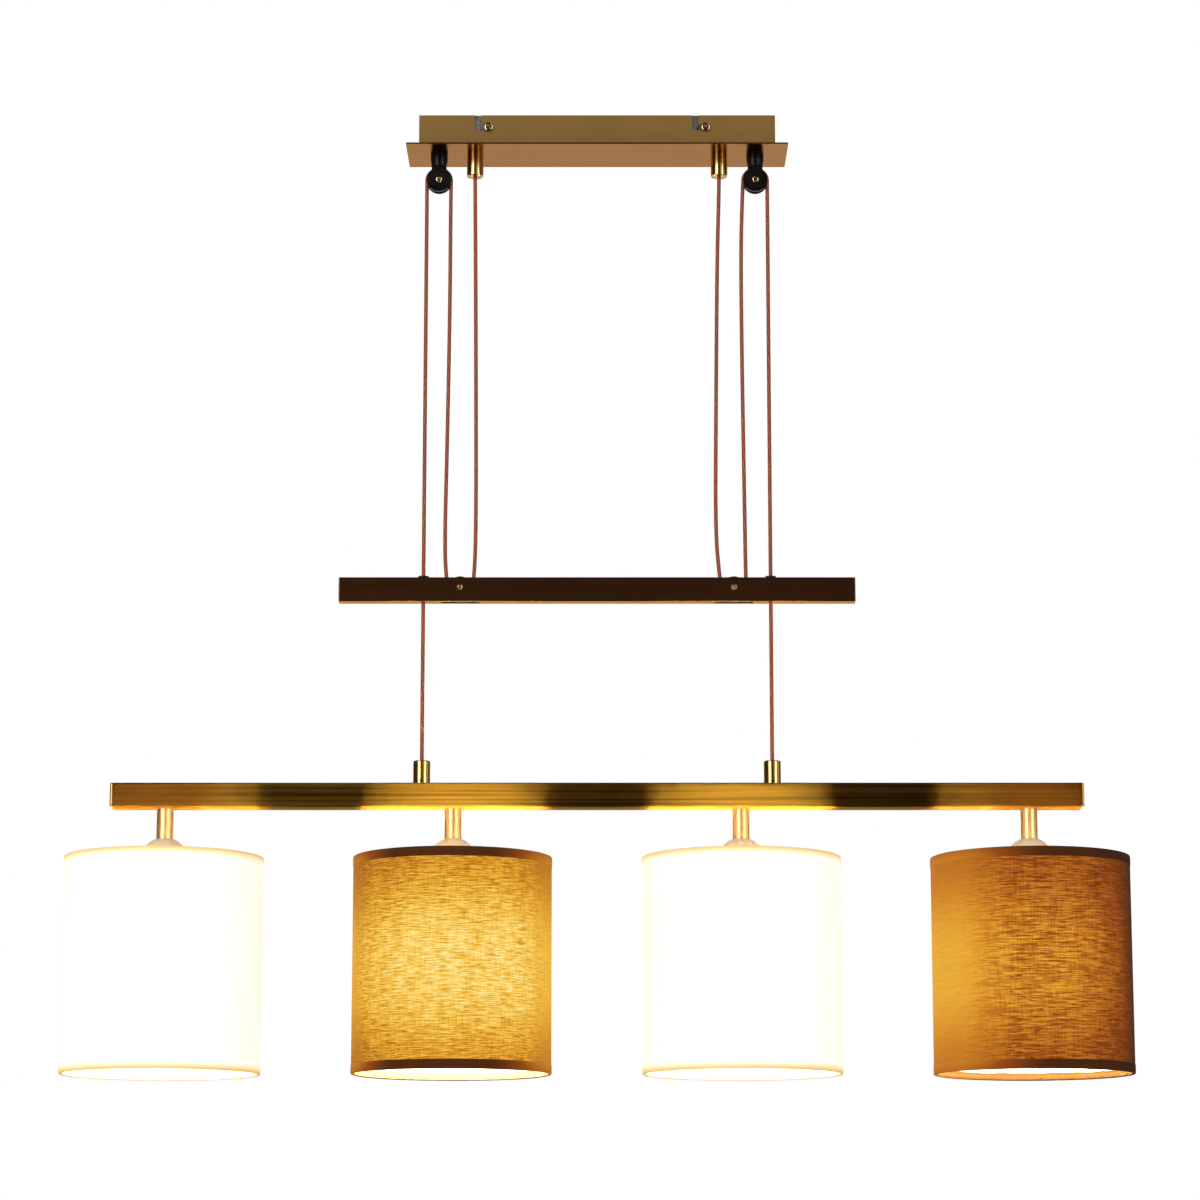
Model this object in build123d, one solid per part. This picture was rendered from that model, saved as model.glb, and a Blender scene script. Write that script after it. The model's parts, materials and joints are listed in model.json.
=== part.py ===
from build123d import *
import math
import os

# Rise-and-fall pendant light: a ceiling box, a counterweight bar and a lamp bar with four drum shades.
# Millimetres. The origin is the middle of the ceiling face, +Z is up, +X runs along the bars and
# +Y points away from the viewer. Two cords, left and right, each run from a gland under the ceiling
# box, under a wheel in the counterweight, over a wheel in a fork and down to the lamp bar.

SIDES = (("left", -1), ("right", 1))

# Ceiling box and its cover plate
BOX_LENGTH = 369.0
BOX_DEPTH = 54.0
BOX_HEIGHT = 33.5
BOX_WALL = 1.0
PLATE_OVERHANG = 13.0
PLATE_THICKNESS = 1.5
PLATE_EDGE_RADIUS = 0.5
PLATE_LENGTH = BOX_LENGTH + 2 * PLATE_OVERHANG
PLATE_DEPTH = BOX_DEPTH + 2 * PLATE_OVERHANG
UNDERSIDE = -(BOX_HEIGHT + PLATE_THICKNESS)

# Ceiling bracket, a channel that the box hooks onto
BRACKET_LENGTH = 270.0
BRACKET_HEIGHT = 22.0
BRACKET_SHEET = 1.5
BRACKET_PLAY = 0.3
BRACKET_DEPTH = BOX_DEPTH - 2 * BOX_WALL - 2 * BRACKET_PLAY
CEILING_SLOT_X = 80.0
CEILING_SLOT_LENGTH = 24.0
CEILING_SLOT_WIDTH = 5.0
CABLE_HOLE_X = 35.0
CABLE_HOLE_DIAMETER = 12.0

# Cross-head screws: side screws, earth screw and wheel axles
SCREW_DIAMETER = 4.0
AXLE_HEAD = 7.6
WEIGHT_AXLE_HEAD = 6.2
EARTH_SCREW_HEAD = 8.0
HEAD_HEIGHT = 2.6
HEAD_ROUNDING = 1.9
CROSS_WIDTH = 1.4
CROSS_SHARE = 0.6
CROSS_DEPTH = 1.3
CROSS_TURN = 40.0
SIDE_SCREW_DIAMETER = 5.0
SIDE_SCREW_HEAD = 10.0
SIDE_SCREW_FROM_END = 22.5
SIDE_SCREW_DROP = 13.0
SIDE_SCREW_LENGTH = 8.0
KEY_SLOT_WIDTH = 6.0
KEY_SLOT_OFFSET = 10.5
KEY_SLOT_DEPTH = 16.5
KEY_SLOT_FOOT = 6.5
EARTH_SCREW_X = 62.0
EARTH_SCREW_LENGTH = 1.4
EARTH_WASHER = 10.0
EARTH_WASHER_THICKNESS = 1.0
SIDE_SCREW_X = BRACKET_LENGTH / 2 - SIDE_SCREW_FROM_END

# Terminal block
TERMINAL_WIDTH = 17.0
TERMINAL_PITCH = 9.0
TERMINAL_POLES = 3
TERMINAL_HEIGHT = 13.0
TERMINAL_SCREW = 3.0
TERMINAL_SCREW_LENGTH = 3.6
TERMINAL_SCREW_X = 4.5
TERMINAL_GRIP = 4.0

# Clearances
THREAD_PLAY = 0.05
RUNNING_PLAY = 0.05
CORD_PLAY = 0.3
SIDE_PLAY = 0.3
SLIP_PLAY = 0.1
HOLE_PLAY = 0.1

# Cord and wheels: the ceiling wheel's place and one wheel size set the places of all the strands
CORD = 4.0
WRAP_RADIUS = 12.5
WHEEL_FROM_BOX_END = 20.0
CEILING_WHEEL_X = BOX_LENGTH / 2 - WHEEL_FROM_BOX_END
LAMP_STRAND_X = CEILING_WHEEL_X + WRAP_RADIUS
WEIGHT_STRAND_X = CEILING_WHEEL_X - WRAP_RADIUS
WEIGHT_WHEEL_X = WEIGHT_STRAND_X - WRAP_RADIUS
ANCHOR_X = WEIGHT_WHEEL_X - WRAP_RADIUS
WHEEL_WIDTH = 5.6
WHEEL_RIM_SINK = 0.5
GROOVE_RADIUS = CORD / 2 + CORD_PLAY
WHEEL_RADIUS = WRAP_RADIUS - WHEEL_RIM_SINK
CORD_TUCK = 11.4
LEAD_TOP_DROP = 11.0
LEAD_BEND_RUN = 48.0
LEAD_BEND_DROP = 13.0
ARC_SHARE = 0.45

# Pulley forks
FORK_AXLE_DROP = 27.4
FORK_GAP = WHEEL_WIDTH + 2 * SIDE_PLAY
FORK_CHEEK = 2.2
FORK_CHEEK_RADIUS = 12.8
FORK_NECK_TOP = 18.0
FORK_NECK_LOW = 15.4
FORK_NECK_BELLY = 0.4
FORK_THROAT_ROOM = 0.5
CEILING_AXLE_Z = UNDERSIDE - FORK_AXLE_DROP
FORK_THROAT_Z = CEILING_AXLE_Z + WRAP_RADIUS + CORD / 2 + FORK_THROAT_ROOM
FORK_DEPTH = FORK_GAP + 2 * FORK_CHEEK

# Cord glands, studs and lock nuts
GLAND_DIAMETER = 17.5
GLAND_LENGTH = 23.4
GLAND_CHAMFER = 0.8
STUD = 10.0
STUD_SPARE = 1.5
NUT_FLATS = 14.0
NUT_THICKNESS = 4.0
GRUB_DIAMETER = 3.0
GRUB_FROM_FACE = 2.8
GRUB_SINK = 0.3
GRUB_KEY = 1.5
GRUB_KEY_DEPTH = 1.5
GLAND_BORE = CORD + 2 * CORD_PLAY

# Counterweight bar
WEIGHT_DROP = 484.5
WEIGHT_LENGTH = 526.0
WEIGHT_HEIGHT = 25.0
WEIGHT_DEPTH = 15.0
WEIGHT_WALL = 1.2
WEIGHT_EDGE_RADIUS = 0.8
WEIGHT_AXLE_BELOW_TOP = 10.2
WEIGHT_CAP = 1.5
WEIGHT_PLUG = 4.0
WEIGHT_BAR_ROOM = 0.4
HOUSING_WALL = 4.0
SLOT_ROOM = 3.0
WHEEL_SLOT_ROOM = 0.4
WHEEL_SLOT_WIDTH = FORK_GAP + 2 * WHEEL_SLOT_ROOM
LOWER_SLOT_LENGTH = 39.0
BUSH_FLANGE = 11.0
BUSH_FLANGE_THICKNESS = 2.0
BUSH_SPIGOT = 8.0
BUSH_SPIGOT_LENGTH = 3.0
WEIGHT_TOP = -WEIGHT_DROP
WEIGHT_BOTTOM = WEIGHT_TOP - WEIGHT_HEIGHT
WEIGHT_AXLE_Z = WEIGHT_TOP - WEIGHT_AXLE_BELOW_TOP
WEIGHT_TUBE_LENGTH = WEIGHT_LENGTH - 2 * WEIGHT_CAP
HOUSING_SLOT = 2 * (WRAP_RADIUS + CORD / 2 + SLOT_ROOM)
HOUSING_LENGTH = HOUSING_SLOT + 2 * HOUSING_WALL

# Lamp bar
LAMP_DROP = 696.0
LAMP_LENGTH = 980.0
LAMP_SECTION = 25.0
LAMP_WALL = 1.0
LAMP_EDGE_RADIUS = 2.0
LAMP_CAP = 3.0
LAMP_PLUG = 6.0
BAR_WIRE = 2.2
BAR_WIRE_Y = 9.9
LAMP_TOP = -LAMP_DROP
LAMP_BOTTOM = LAMP_TOP - LAMP_SECTION

# Stems, nipples and lampholders
LAMP_COUNT = 4
LAMP_FROM_BAR_END = 55.0
LAMP_PITCH = (LAMP_LENGTH - 2 * LAMP_FROM_BAR_END) / (LAMP_COUNT - 1)
STEM_DIAMETER = 17.0
STEM_LENGTH = 31.0
STEM_WALL = 1.2
NIPPLE_BORE = 6.4
NIPPLE_ENTRY = 11.0
LEAD_DIAMETER = 5.6
LEAD_SPARE = 2.0
HOLDER_TOP = LAMP_BOTTOM - STEM_LENGTH
CAP_TOP_RADIUS = 9.6
CAP_NECK_RADIUS = 21.0
CAP_NECK_DROP = 9.6
CAP_BULGE = 1.0
CAP_RADIUS = 22.0
CAP_SHOULDER_DROP = 14.0
CAP_HEIGHT = 27.0
CAP_WALL = 1.6
CAP_BOSS_RADIUS = 8.0
BODY_TOP_DROP = 15.5
BODY_FLANGE = 2.0
BODY_HEIGHT = 62.0
BODY_FLOOR_DROP = 30.0
BODY_RADIUS = CAP_RADIUS - CAP_WALL - SLIP_PLAY
SOCKET_BORE = 14.0
SHELL_WALL = 0.4
SHELL_TOP_DROP = 33.0
SHELL_LIP = 2.0
CONTACT_RADIUS = 4.0
CONTACT_THICKNESS = 2.0

# Bulbs
BULB_BASE_RADIUS = 13.1
BULB_BASE_LENGTH = 26.5
BULB_BASE_WALL = 0.6
BULB_TIP_GAP = 0.3
BULB_TIP_RADIUS = 4.5
BULB_TIP_HEIGHT = 2.0
BULB_SHOULDER_RADIUS = 9.0
BULB_SHOULDER_HEIGHT = 4.0
BULB_RADIUS = 30.0
BULB_LENGTH = 108.0
BULB_GLASS = 0.9
BULB_NECK_RADIUS = 13.0
BULB_NECK_LENGTH = 6.0
BULB_FLARE_ANGLE = 25.0

# Shades
SHADE_DIAMETER = 200.0
SHADE_HEIGHT = 217.0
SHADE_TOP_DROP = 18.5
SHADE_WALL = 0.8
HEM_HEIGHT = 8.0
HEM_PROUD = 0.4
WIRE = 2.6
WIRE_FROM_RIM = 2.2
SPOKES = 3
FITTER_WIDTH = 10.5
FITTER_THICKNESS = 1.2
CLAMP_WIDTH = 6.0
CLAMP_HEIGHT = 8.0
SHADE_TOP = HOLDER_TOP - SHADE_TOP_DROP
SHADE_BOTTOM = SHADE_TOP - SHADE_HEIGHT
SHADE_INNER_RADIUS = SHADE_DIAMETER / 2 - HEM_PROUD - SHADE_WALL
WIRE_RING_RADIUS = SHADE_INNER_RADIUS - WIRE / 2 - SLIP_PLAY
FITTER_Z = HOLDER_TOP - CAP_HEIGHT - BODY_FLANGE


def upright(diameter, z_low, z_high, x=0.0, y=0.0):
    """A vertical round bar."""
    return Pos(x, y, (z_low + z_high) / 2) * Cylinder(diameter / 2, z_high - z_low)


def cross_bar(diameter, y_front, y_back, x, z):
    """A round bar along Y."""
    return Pos(x, (y_front + y_back) / 2, z) * Rot(90, 0, 0) * Cylinder(diameter / 2, y_back - y_front)


def block(x_low, x_high, y_low, y_high, z_low, z_high):
    """A box between two corners."""
    centre = ((x_low + x_high) / 2, (y_low + y_high) / 2, (z_low + z_high) / 2)
    return Pos(*centre) * Box(x_high - x_low, y_high - y_low, z_high - z_low)


def slab(length, depth, z_low, z_high):
    """A box centred on the Z axis."""
    return Pos(0, 0, (z_low + z_high) / 2) * Box(length, depth, z_high - z_low)


def square_tube(length, depth, height, wall, edge_radius, z_top):
    """A hollow bar along X with rounded long edges."""
    bar = block(-length / 2, length / 2, -depth / 2, depth / 2, z_top - height, z_top)
    bar = fillet(bar.edges().filter_by(Axis.X), edge_radius)
    bore = block(-length, length, -depth / 2 + wall, depth / 2 - wall, z_top - height + wall, z_top - wall)
    return bar - bore


def end_cap(side, tube_end, cap, plug, depth, height, wall, edge_radius, z_top):
    """A cap plate with rounded edges at a tube's end, and a plug that slips into the tube."""
    z_low = z_top - height
    plate = block(0, cap, -depth / 2, depth / 2, z_low, z_top)
    plate = fillet([edge for edge in plate.edges() if edge.center().X > SLIP_PLAY], edge_radius)
    inset = wall + SLIP_PLAY
    plate += block(-plug, 0, -depth / 2 + inset, depth / 2 - inset, z_low + inset, z_top - inset)
    placed = Pos(tube_end, 0, 0) * plate
    return placed if side > 0 else mirror(placed, about=Plane.YZ)


def cross_head_screw(diameter, head_diameter, shank_length):
    """A pan-head screw along Z: the head stands on Z = 0 and the shank hangs below it."""
    head = Pos(0, 0, HEAD_HEIGHT / 2) * Cylinder(head_diameter / 2, HEAD_HEIGHT)
    head = fillet(head.edges().sort_by(Axis.Z)[-1], HEAD_ROUNDING)
    arm = head_diameter * CROSS_SHARE
    recess = Box(arm, CROSS_WIDTH, 2 * CROSS_DEPTH) + Box(CROSS_WIDTH, arm, 2 * CROSS_DEPTH)
    head -= Pos(0, 0, HEAD_HEIGHT) * Rot(0, 0, CROSS_TURN) * recess
    return head + upright(diameter, -shank_length, 0)


def hex_nut(x, z_low):
    """A lock nut that stands on z_low."""
    prism = extrude(RegularPolygon(NUT_FLATS / 2, 6, major_radius=False), NUT_THICKNESS)
    return Pos(x, 0, z_low) * prism - upright(STUD + 2 * THREAD_PLAY, z_low, z_low + NUT_THICKNESS, x)


def strut(start, end, diameter):
    """A round wire between two points."""
    start = Vector(*start)
    run = Vector(*end) - start
    return Solid.make_cylinder(diameter / 2, run.length, Plane(origin=start, z_dir=run))


def ring(outer_radius, inner_radius, z_low, z_high, x=0.0):
    """A flat ring about a vertical axis."""
    return upright(2 * outer_radius, z_low, z_high, x) - upright(2 * inner_radius, z_low, z_high, x)


def lamp_xs():
    """The lamps' places along the bar."""
    middle = (LAMP_COUNT - 1) / 2
    return [(i - middle) * LAMP_PITCH for i in range(LAMP_COUNT)]


def ceiling_bracket():
    """Channel with slots for two ceiling screws, a cable hole and tapped holes for the side screws."""
    channel = slab(BRACKET_LENGTH, BRACKET_DEPTH, -BRACKET_HEIGHT, 0)
    channel -= slab(BRACKET_LENGTH, BRACKET_DEPTH - 2 * BRACKET_SHEET, -BRACKET_HEIGHT, -BRACKET_SHEET)
    slot = extrude(SlotOverall(CEILING_SLOT_LENGTH, CEILING_SLOT_WIDTH), -BRACKET_SHEET)
    for _, side in SIDES:
        channel -= Pos(side * CEILING_SLOT_X, 0, 0) * slot
        hole = SIDE_SCREW_DIAMETER + 2 * THREAD_PLAY
        channel -= cross_bar(hole, -BRACKET_DEPTH, BRACKET_DEPTH, side * SIDE_SCREW_X, -SIDE_SCREW_DROP)
    channel -= upright(CABLE_HOLE_DIAMETER, -BRACKET_SHEET, 0, CABLE_HOLE_X)
    return channel - upright(SCREW_DIAMETER + 2 * THREAD_PLAY, -BRACKET_SHEET, 0, EARTH_SCREW_X)


def stud_xs():
    """The places of the four studs that come up through the plate and the box's floor."""
    return [side * x for _, side in SIDES for x in (CEILING_WHEEL_X, ANCHOR_X)]


def canopy_box():
    """Folded box, open at the ceiling, with bayonet slots that hook over the side screws."""
    tray = slab(BOX_LENGTH, BOX_DEPTH, -BOX_HEIGHT, 0)
    tray -= slab(BOX_LENGTH - 2 * BOX_WALL, BOX_DEPTH - 2 * BOX_WALL, BOX_WALL - BOX_HEIGHT, 0)
    for _, side in SIDES:
        screw = side * SIDE_SCREW_X
        entry = screw - KEY_SLOT_OFFSET
        low = entry - KEY_SLOT_WIDTH / 2
        tray -= block(low, low + KEY_SLOT_WIDTH, -BOX_DEPTH, BOX_DEPTH, -KEY_SLOT_DEPTH, 0)
        foot_top = KEY_SLOT_FOOT - KEY_SLOT_DEPTH
        tray -= block(entry, screw + KEY_SLOT_FOOT / 2, -BOX_DEPTH, BOX_DEPTH, -KEY_SLOT_DEPTH, foot_top)
    for x in stud_xs():
        tray -= upright(STUD + 2 * HOLE_PLAY, -BOX_HEIGHT, BOX_WALL - BOX_HEIGHT, x)
    return tray


def canopy_plate():
    """Cover plate, wider than the box, held up by the four studs."""
    plate = slab(PLATE_LENGTH, PLATE_DEPTH, UNDERSIDE, -BOX_HEIGHT)
    plate = fillet(plate.edges().filter_by(Axis.Z), 2 * PLATE_EDGE_RADIUS)
    plate = fillet(plate.faces().sort_by(Axis.Z)[0].edges(), PLATE_EDGE_RADIUS)
    for x in stud_xs():
        plate -= upright(STUD + 2 * HOLE_PLAY, UNDERSIDE, -BOX_HEIGHT, x)
    return plate


def canopy_screws():
    """Four side screws, heads outside the box and shanks in the bracket's flanges."""
    screw = cross_head_screw(SIDE_SCREW_DIAMETER, SIDE_SCREW_HEAD, SIDE_SCREW_LENGTH)
    screws = []
    for _, side in SIDES:
        for facing, turn in ((-1, 90), (1, -90)):
            place = Pos(side * SIDE_SCREW_X, facing * BOX_DEPTH / 2, -SIDE_SCREW_DROP)
            screws.append(place * Rot(turn, 0, 0) * screw)
    return screws


def terminal_ys():
    """The terminal block's poles along Y."""
    return [(i - (TERMINAL_POLES - 1) / 2) * TERMINAL_PITCH for i in range(TERMINAL_POLES)]


TERMINAL_TOP = -BRACKET_SHEET
TERMINAL_LOW = TERMINAL_TOP - TERMINAL_HEIGHT
TERMINAL_WIRE_Z = TERMINAL_TOP - TERMINAL_HEIGHT / 2


def terminal_block():
    """Connector strip under the bracket's web, with a wire hole and two screw wells per pole."""
    depth = TERMINAL_POLES * TERMINAL_PITCH
    half = TERMINAL_WIDTH / 2
    strip = block(-half, half, -depth / 2, depth / 2, TERMINAL_LOW, TERMINAL_TOP)
    well = TERMINAL_SCREW + 2 * THREAD_PLAY
    for y in terminal_ys():
        hole = Cylinder(GLAND_BORE / 2, TERMINAL_WIDTH, rotation=(0, 90, 0))
        strip -= Pos(0, y, TERMINAL_WIRE_Z) * hole
        for side in (-1, 1):
            strip -= upright(well, TERMINAL_LOW, TERMINAL_WIRE_Z, side * TERMINAL_SCREW_X, y)
    return strip


def terminal_screws():
    """Two wire screws per pole, in the block's wells."""
    screws = []
    for y in terminal_ys():
        for side in (-1, 1):
            x = side * TERMINAL_SCREW_X
            screw = upright(TERMINAL_SCREW, TERMINAL_LOW, TERMINAL_LOW + TERMINAL_SCREW_LENGTH, x, y)
            nick = Box(TERMINAL_SCREW, CROSS_WIDTH / 2, CROSS_WIDTH)
            screws.append(screw - Pos(x, y, TERMINAL_LOW) * nick)
    return screws


def earth_screw():
    """Earth screw with its washer, head down under the bracket's web."""
    washer_low = -BRACKET_SHEET - EARTH_WASHER_THICKNESS
    shank = EARTH_WASHER_THICKNESS + EARTH_SCREW_LENGTH
    screw = cross_head_screw(SCREW_DIAMETER, EARTH_SCREW_HEAD, shank)
    screw = Pos(EARTH_SCREW_X, 0, washer_low) * Rot(180, 0, 0) * screw
    hole = SCREW_DIAMETER / 2 + THREAD_PLAY
    washer = ring(EARTH_WASHER / 2, hole, washer_low, -BRACKET_SHEET, EARTH_SCREW_X)
    return [screw, washer]


def stud_top():
    """How high the studs reach inside the box."""
    return BOX_WALL - BOX_HEIGHT + NUT_THICKNESS + STUD_SPARE


def pulley_fork(x):
    """Moulded fork: a bellied neck on a stud, and two round cheeks that hold the wheel."""
    belly = Line((0, UNDERSIDE), (FORK_NECK_TOP / 2, UNDERSIDE))
    middle = ((FORK_NECK_TOP + FORK_NECK_LOW) / 4 + FORK_NECK_BELLY, (UNDERSIDE + FORK_THROAT_Z) / 2)
    side = ThreePointArc(belly @ 1, middle, (FORK_NECK_LOW / 2, FORK_THROAT_Z))
    foot = Line(side @ 1, (0, FORK_THROAT_Z))
    outline = Plane.XZ * make_face([belly, side, foot, Line(foot @ 1, belly @ 0)])
    fork = Pos(x, 0, 0) * revolve(outline, Axis.Z)
    fork += upright(STUD, UNDERSIDE, stud_top(), x)
    cheeks = cross_bar(2 * FORK_CHEEK_RADIUS, -FORK_DEPTH / 2, FORK_DEPTH / 2, x, CEILING_AXLE_Z)
    half = FORK_NECK_LOW / 2
    cheeks += block(x - half, x + half, -FORK_DEPTH / 2, FORK_DEPTH / 2, CEILING_AXLE_Z, FORK_THROAT_Z)
    reach = 2 * FORK_CHEEK_RADIUS
    low = CEILING_AXLE_Z - reach
    cheeks -= block(x - reach, x + reach, -FORK_GAP / 2, FORK_GAP / 2, low, FORK_THROAT_Z)
    hole = SCREW_DIAMETER + 2 * THREAD_PLAY
    return fork + cheeks - cross_bar(hole, -FORK_DEPTH, FORK_DEPTH, x, CEILING_AXLE_Z)


def axle_screws(x, z, depth, head):
    """Screws along Y that are a pair of wheels' axles, heads at the front."""
    screw = Rot(90, 0, 0) * cross_head_screw(SCREW_DIAMETER, head, depth)
    return [Pos(side * x, -depth / 2, z) * screw for _, side in SIDES]


def canopy_lock_nuts():
    """Nuts on the four studs, on the box's floor."""
    return [hex_nut(x, BOX_WALL - BOX_HEIGHT) for x in stud_xs()]


def gland(stud_length):
    """Cord gland that hangs from Z = 0, with its stud above and the cord's bore right through."""
    barrel = Pos(0, 0, -GLAND_LENGTH / 2) * Cylinder(GLAND_DIAMETER / 2, GLAND_LENGTH)
    barrel = chamfer(barrel.edges().filter_by(GeomType.CIRCLE).sort_by(Axis.Z)[0], GLAND_CHAMFER)
    barrel += upright(STUD, 0, stud_length)
    return barrel - upright(GLAND_BORE, -GLAND_LENGTH, stud_length)


def ceiling_gland(x):
    """Gland under the plate, where a cord is anchored and its wires go in."""
    return Pos(x, 0, UNDERSIDE) * gland(stud_top() - UNDERSIDE)


def grub_hole(x):
    """The cord screw's tapped hole in a lamp gland, from the front."""
    return cross_bar(GRUB_DIAMETER + 2 * THREAD_PLAY, -GLAND_DIAMETER, 0, x, LAMP_TOP + GRUB_FROM_FACE)


def lamp_gland(x):
    """Gland on the lamp bar, which the cord carries."""
    stud_length = LAMP_WALL + NUT_THICKNESS + STUD_SPARE
    return Pos(x, 0, LAMP_TOP) * Rot(180, 0, 0) * gland(stud_length) - grub_hole(x)


def gland_grub_screws():
    """Hex-socket screws that pinch the cords in the lamp glands."""
    screws = []
    for _, side in SIDES:
        x = side * LAMP_STRAND_X
        z = LAMP_TOP + GRUB_FROM_FACE
        front = GRUB_SINK - GLAND_DIAMETER / 2
        screw = cross_bar(GRUB_DIAMETER, front, -CORD / 2 - SLIP_PLAY, x, z)
        key = Pos(x, front, z) * Rot(90, 0, 0) * Box(GRUB_KEY, GRUB_KEY, 2 * GRUB_KEY_DEPTH)
        screws.append(screw - key)
    return screws


ANCHOR_TOP = UNDERSIDE - GLAND_LENGTH + CORD_TUCK
LAMP_CORD_END = LAMP_TOP + GLAND_LENGTH - CORD_TUCK


def lead_route(side):
    """The points of a supply lead, from its gland to its pole of the terminal block."""
    y = side * TERMINAL_PITCH
    x = side * ANCHOR_X
    grip = side * (TERMINAL_WIDTH / 2 - TERMINAL_GRIP)
    bend = (x - side * LEAD_BEND_RUN, y, -LEAD_BEND_DROP)
    return [(x, 0, ANCHOR_TOP), (x, 0, -LEAD_TOP_DROP), bend, (grip, y, TERMINAL_WIRE_Z)]


def corner_radius(before, corner, after):
    """The largest arc that fits a corner of a cord's route."""
    first = Vector(*corner) - Vector(*before)
    second = Vector(*after) - Vector(*corner)
    turn = math.radians(first.get_angle(second))
    return ARC_SHARE * min(first.length, second.length) / math.tan(turn / 2)


def supply_leads():
    """The cords' ends inside the box, from the glands to the terminal block."""
    leads = []
    for name, side in SIDES:
        route = lead_route(side)
        radii = [corner_radius(*route[i:i + 3]) for i in range(len(route) - 2)]
        path = FilletPolyline(*route, radius=radii)
        section = Plane(origin=route[0], z_dir=(0, 0, 1)) * Circle(CORD / 2)
        lead = sweep(section, path=path)
        straight = math.pi * CORD**2 / 4 * path.length
        share = lead.volume / straight
        print(f"supply lead {name}: radii {[round(r, 1) for r in radii]}, volume share {share:.4f}")
        leads.append(lead)
    return leads


def strand(x, z_low, z_high):
    """A taut vertical stretch of cord."""
    return upright(CORD, z_low, z_high, x)


def wrap(x, axle_z, upper):
    """The half turn of cord on a wheel, over its top or under its foot."""
    section = Plane(origin=(x + WRAP_RADIUS, 0, axle_z)) * Circle(CORD / 2)
    return revolve(section, Axis((x, 0, axle_z), (0, -1 if upper else 1, 0)), 180)


def wheel(x, z):
    """Grooved wheel that turns on its axle screw."""
    disc = Cylinder(WHEEL_RADIUS, WHEEL_WIDTH) - Torus(WRAP_RADIUS, GROOVE_RADIUS)
    disc -= Cylinder(SCREW_DIAMETER / 2 + RUNNING_PLAY, WHEEL_WIDTH)
    return Pos(x, 0, z) * Rot(90, 0, 0) * disc


def weight_tube():
    """Flat tube of the counterweight, with slots for the wheels and holes for the cords."""
    tube = square_tube(
        WEIGHT_TUBE_LENGTH, WEIGHT_DEPTH, WEIGHT_HEIGHT, WEIGHT_WALL, WEIGHT_EDGE_RADIUS, WEIGHT_TOP
    )
    width = WHEEL_SLOT_WIDTH / 2
    for _, side in SIDES:
        x = side * WEIGHT_WHEEL_X
        for length, z in ((HOUSING_SLOT, WEIGHT_TOP), (LOWER_SLOT_LENGTH, WEIGHT_BOTTOM)):
            tube -= block(x - length / 2, x + length / 2, -width, width, z - WEIGHT_WALL, z + WEIGHT_WALL)
        tube -= cross_bar(SCREW_DIAMETER + 2 * THREAD_PLAY, -WEIGHT_DEPTH, WEIGHT_DEPTH, x, WEIGHT_AXLE_Z)
        cord_x = side * LAMP_STRAND_X
        tube -= upright(BUSH_SPIGOT + 2 * SLIP_PLAY, WEIGHT_TOP - WEIGHT_WALL, WEIGHT_TOP, cord_x)
        tube -= upright(GLAND_BORE, WEIGHT_BOTTOM, WEIGHT_BOTTOM + WEIGHT_WALL, cord_x)
    return tube


def weight_end_caps():
    """Caps that close the counterweight's ends."""
    return [
        end_cap(side, WEIGHT_TUBE_LENGTH / 2, WEIGHT_CAP, WEIGHT_PLUG, WEIGHT_DEPTH, WEIGHT_HEIGHT,
                WEIGHT_WALL, WEIGHT_EDGE_RADIUS, WEIGHT_TOP)
        for _, side in SIDES
    ]


def inner_block(x_low, x_high):
    """A block that slips into the counterweight's tube."""
    inset = WEIGHT_WALL + SLIP_PLAY
    half = WEIGHT_DEPTH / 2 - inset
    return block(x_low, x_high, -half, half, WEIGHT_BOTTOM + inset, WEIGHT_TOP - inset)


def weight_bars():
    """Iron bars that fill the tube between the wheels and beyond the lamp cords."""
    inner = WEIGHT_WHEEL_X - HOUSING_LENGTH / 2 - WEIGHT_BAR_ROOM
    near = LAMP_STRAND_X + BUSH_SPIGOT / 2 + WEIGHT_BAR_ROOM
    far = WEIGHT_TUBE_LENGTH / 2 - WEIGHT_PLUG - WEIGHT_BAR_ROOM
    return [inner_block(-far, -near), inner_block(-inner, inner), inner_block(near, far)]


def wheel_housing(x):
    """Moulded block in the tube, with a slot for the wheel and its cord."""
    housing = inner_block(x - HOUSING_LENGTH / 2, x + HOUSING_LENGTH / 2)
    half = HOUSING_SLOT / 2
    housing -= block(x - half, x + half, -FORK_GAP / 2, FORK_GAP / 2, WEIGHT_BOTTOM, WEIGHT_TOP)
    hole = SCREW_DIAMETER + 2 * THREAD_PLAY
    return housing - cross_bar(hole, -WEIGHT_DEPTH, WEIGHT_DEPTH, x, WEIGHT_AXLE_Z)


def cord_bushes():
    """Flanged bushes where the lamp cords go down into the counterweight."""
    top = WEIGHT_TOP + BUSH_FLANGE_THICKNESS
    low = WEIGHT_TOP - BUSH_SPIGOT_LENGTH
    bushes = []
    for _, side in SIDES:
        x = side * LAMP_STRAND_X
        bush = upright(BUSH_FLANGE, WEIGHT_TOP, top, x) + upright(BUSH_SPIGOT, low, WEIGHT_TOP, x)
        bushes.append(bush - upright(GLAND_BORE, low, top, x))
    return bushes


def lamp_tube():
    """Square tube that carries the four lamps."""
    length = LAMP_LENGTH - 2 * LAMP_CAP
    tube = square_tube(length, LAMP_SECTION, LAMP_SECTION, LAMP_WALL, LAMP_EDGE_RADIUS, LAMP_TOP)
    hole = STUD + 2 * HOLE_PLAY
    for _, side in SIDES:
        tube -= upright(hole, LAMP_TOP - LAMP_WALL, LAMP_TOP, side * LAMP_STRAND_X)
    for x in lamp_xs():
        tube -= upright(hole, LAMP_BOTTOM, LAMP_BOTTOM + LAMP_WALL, x)
    return tube


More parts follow.
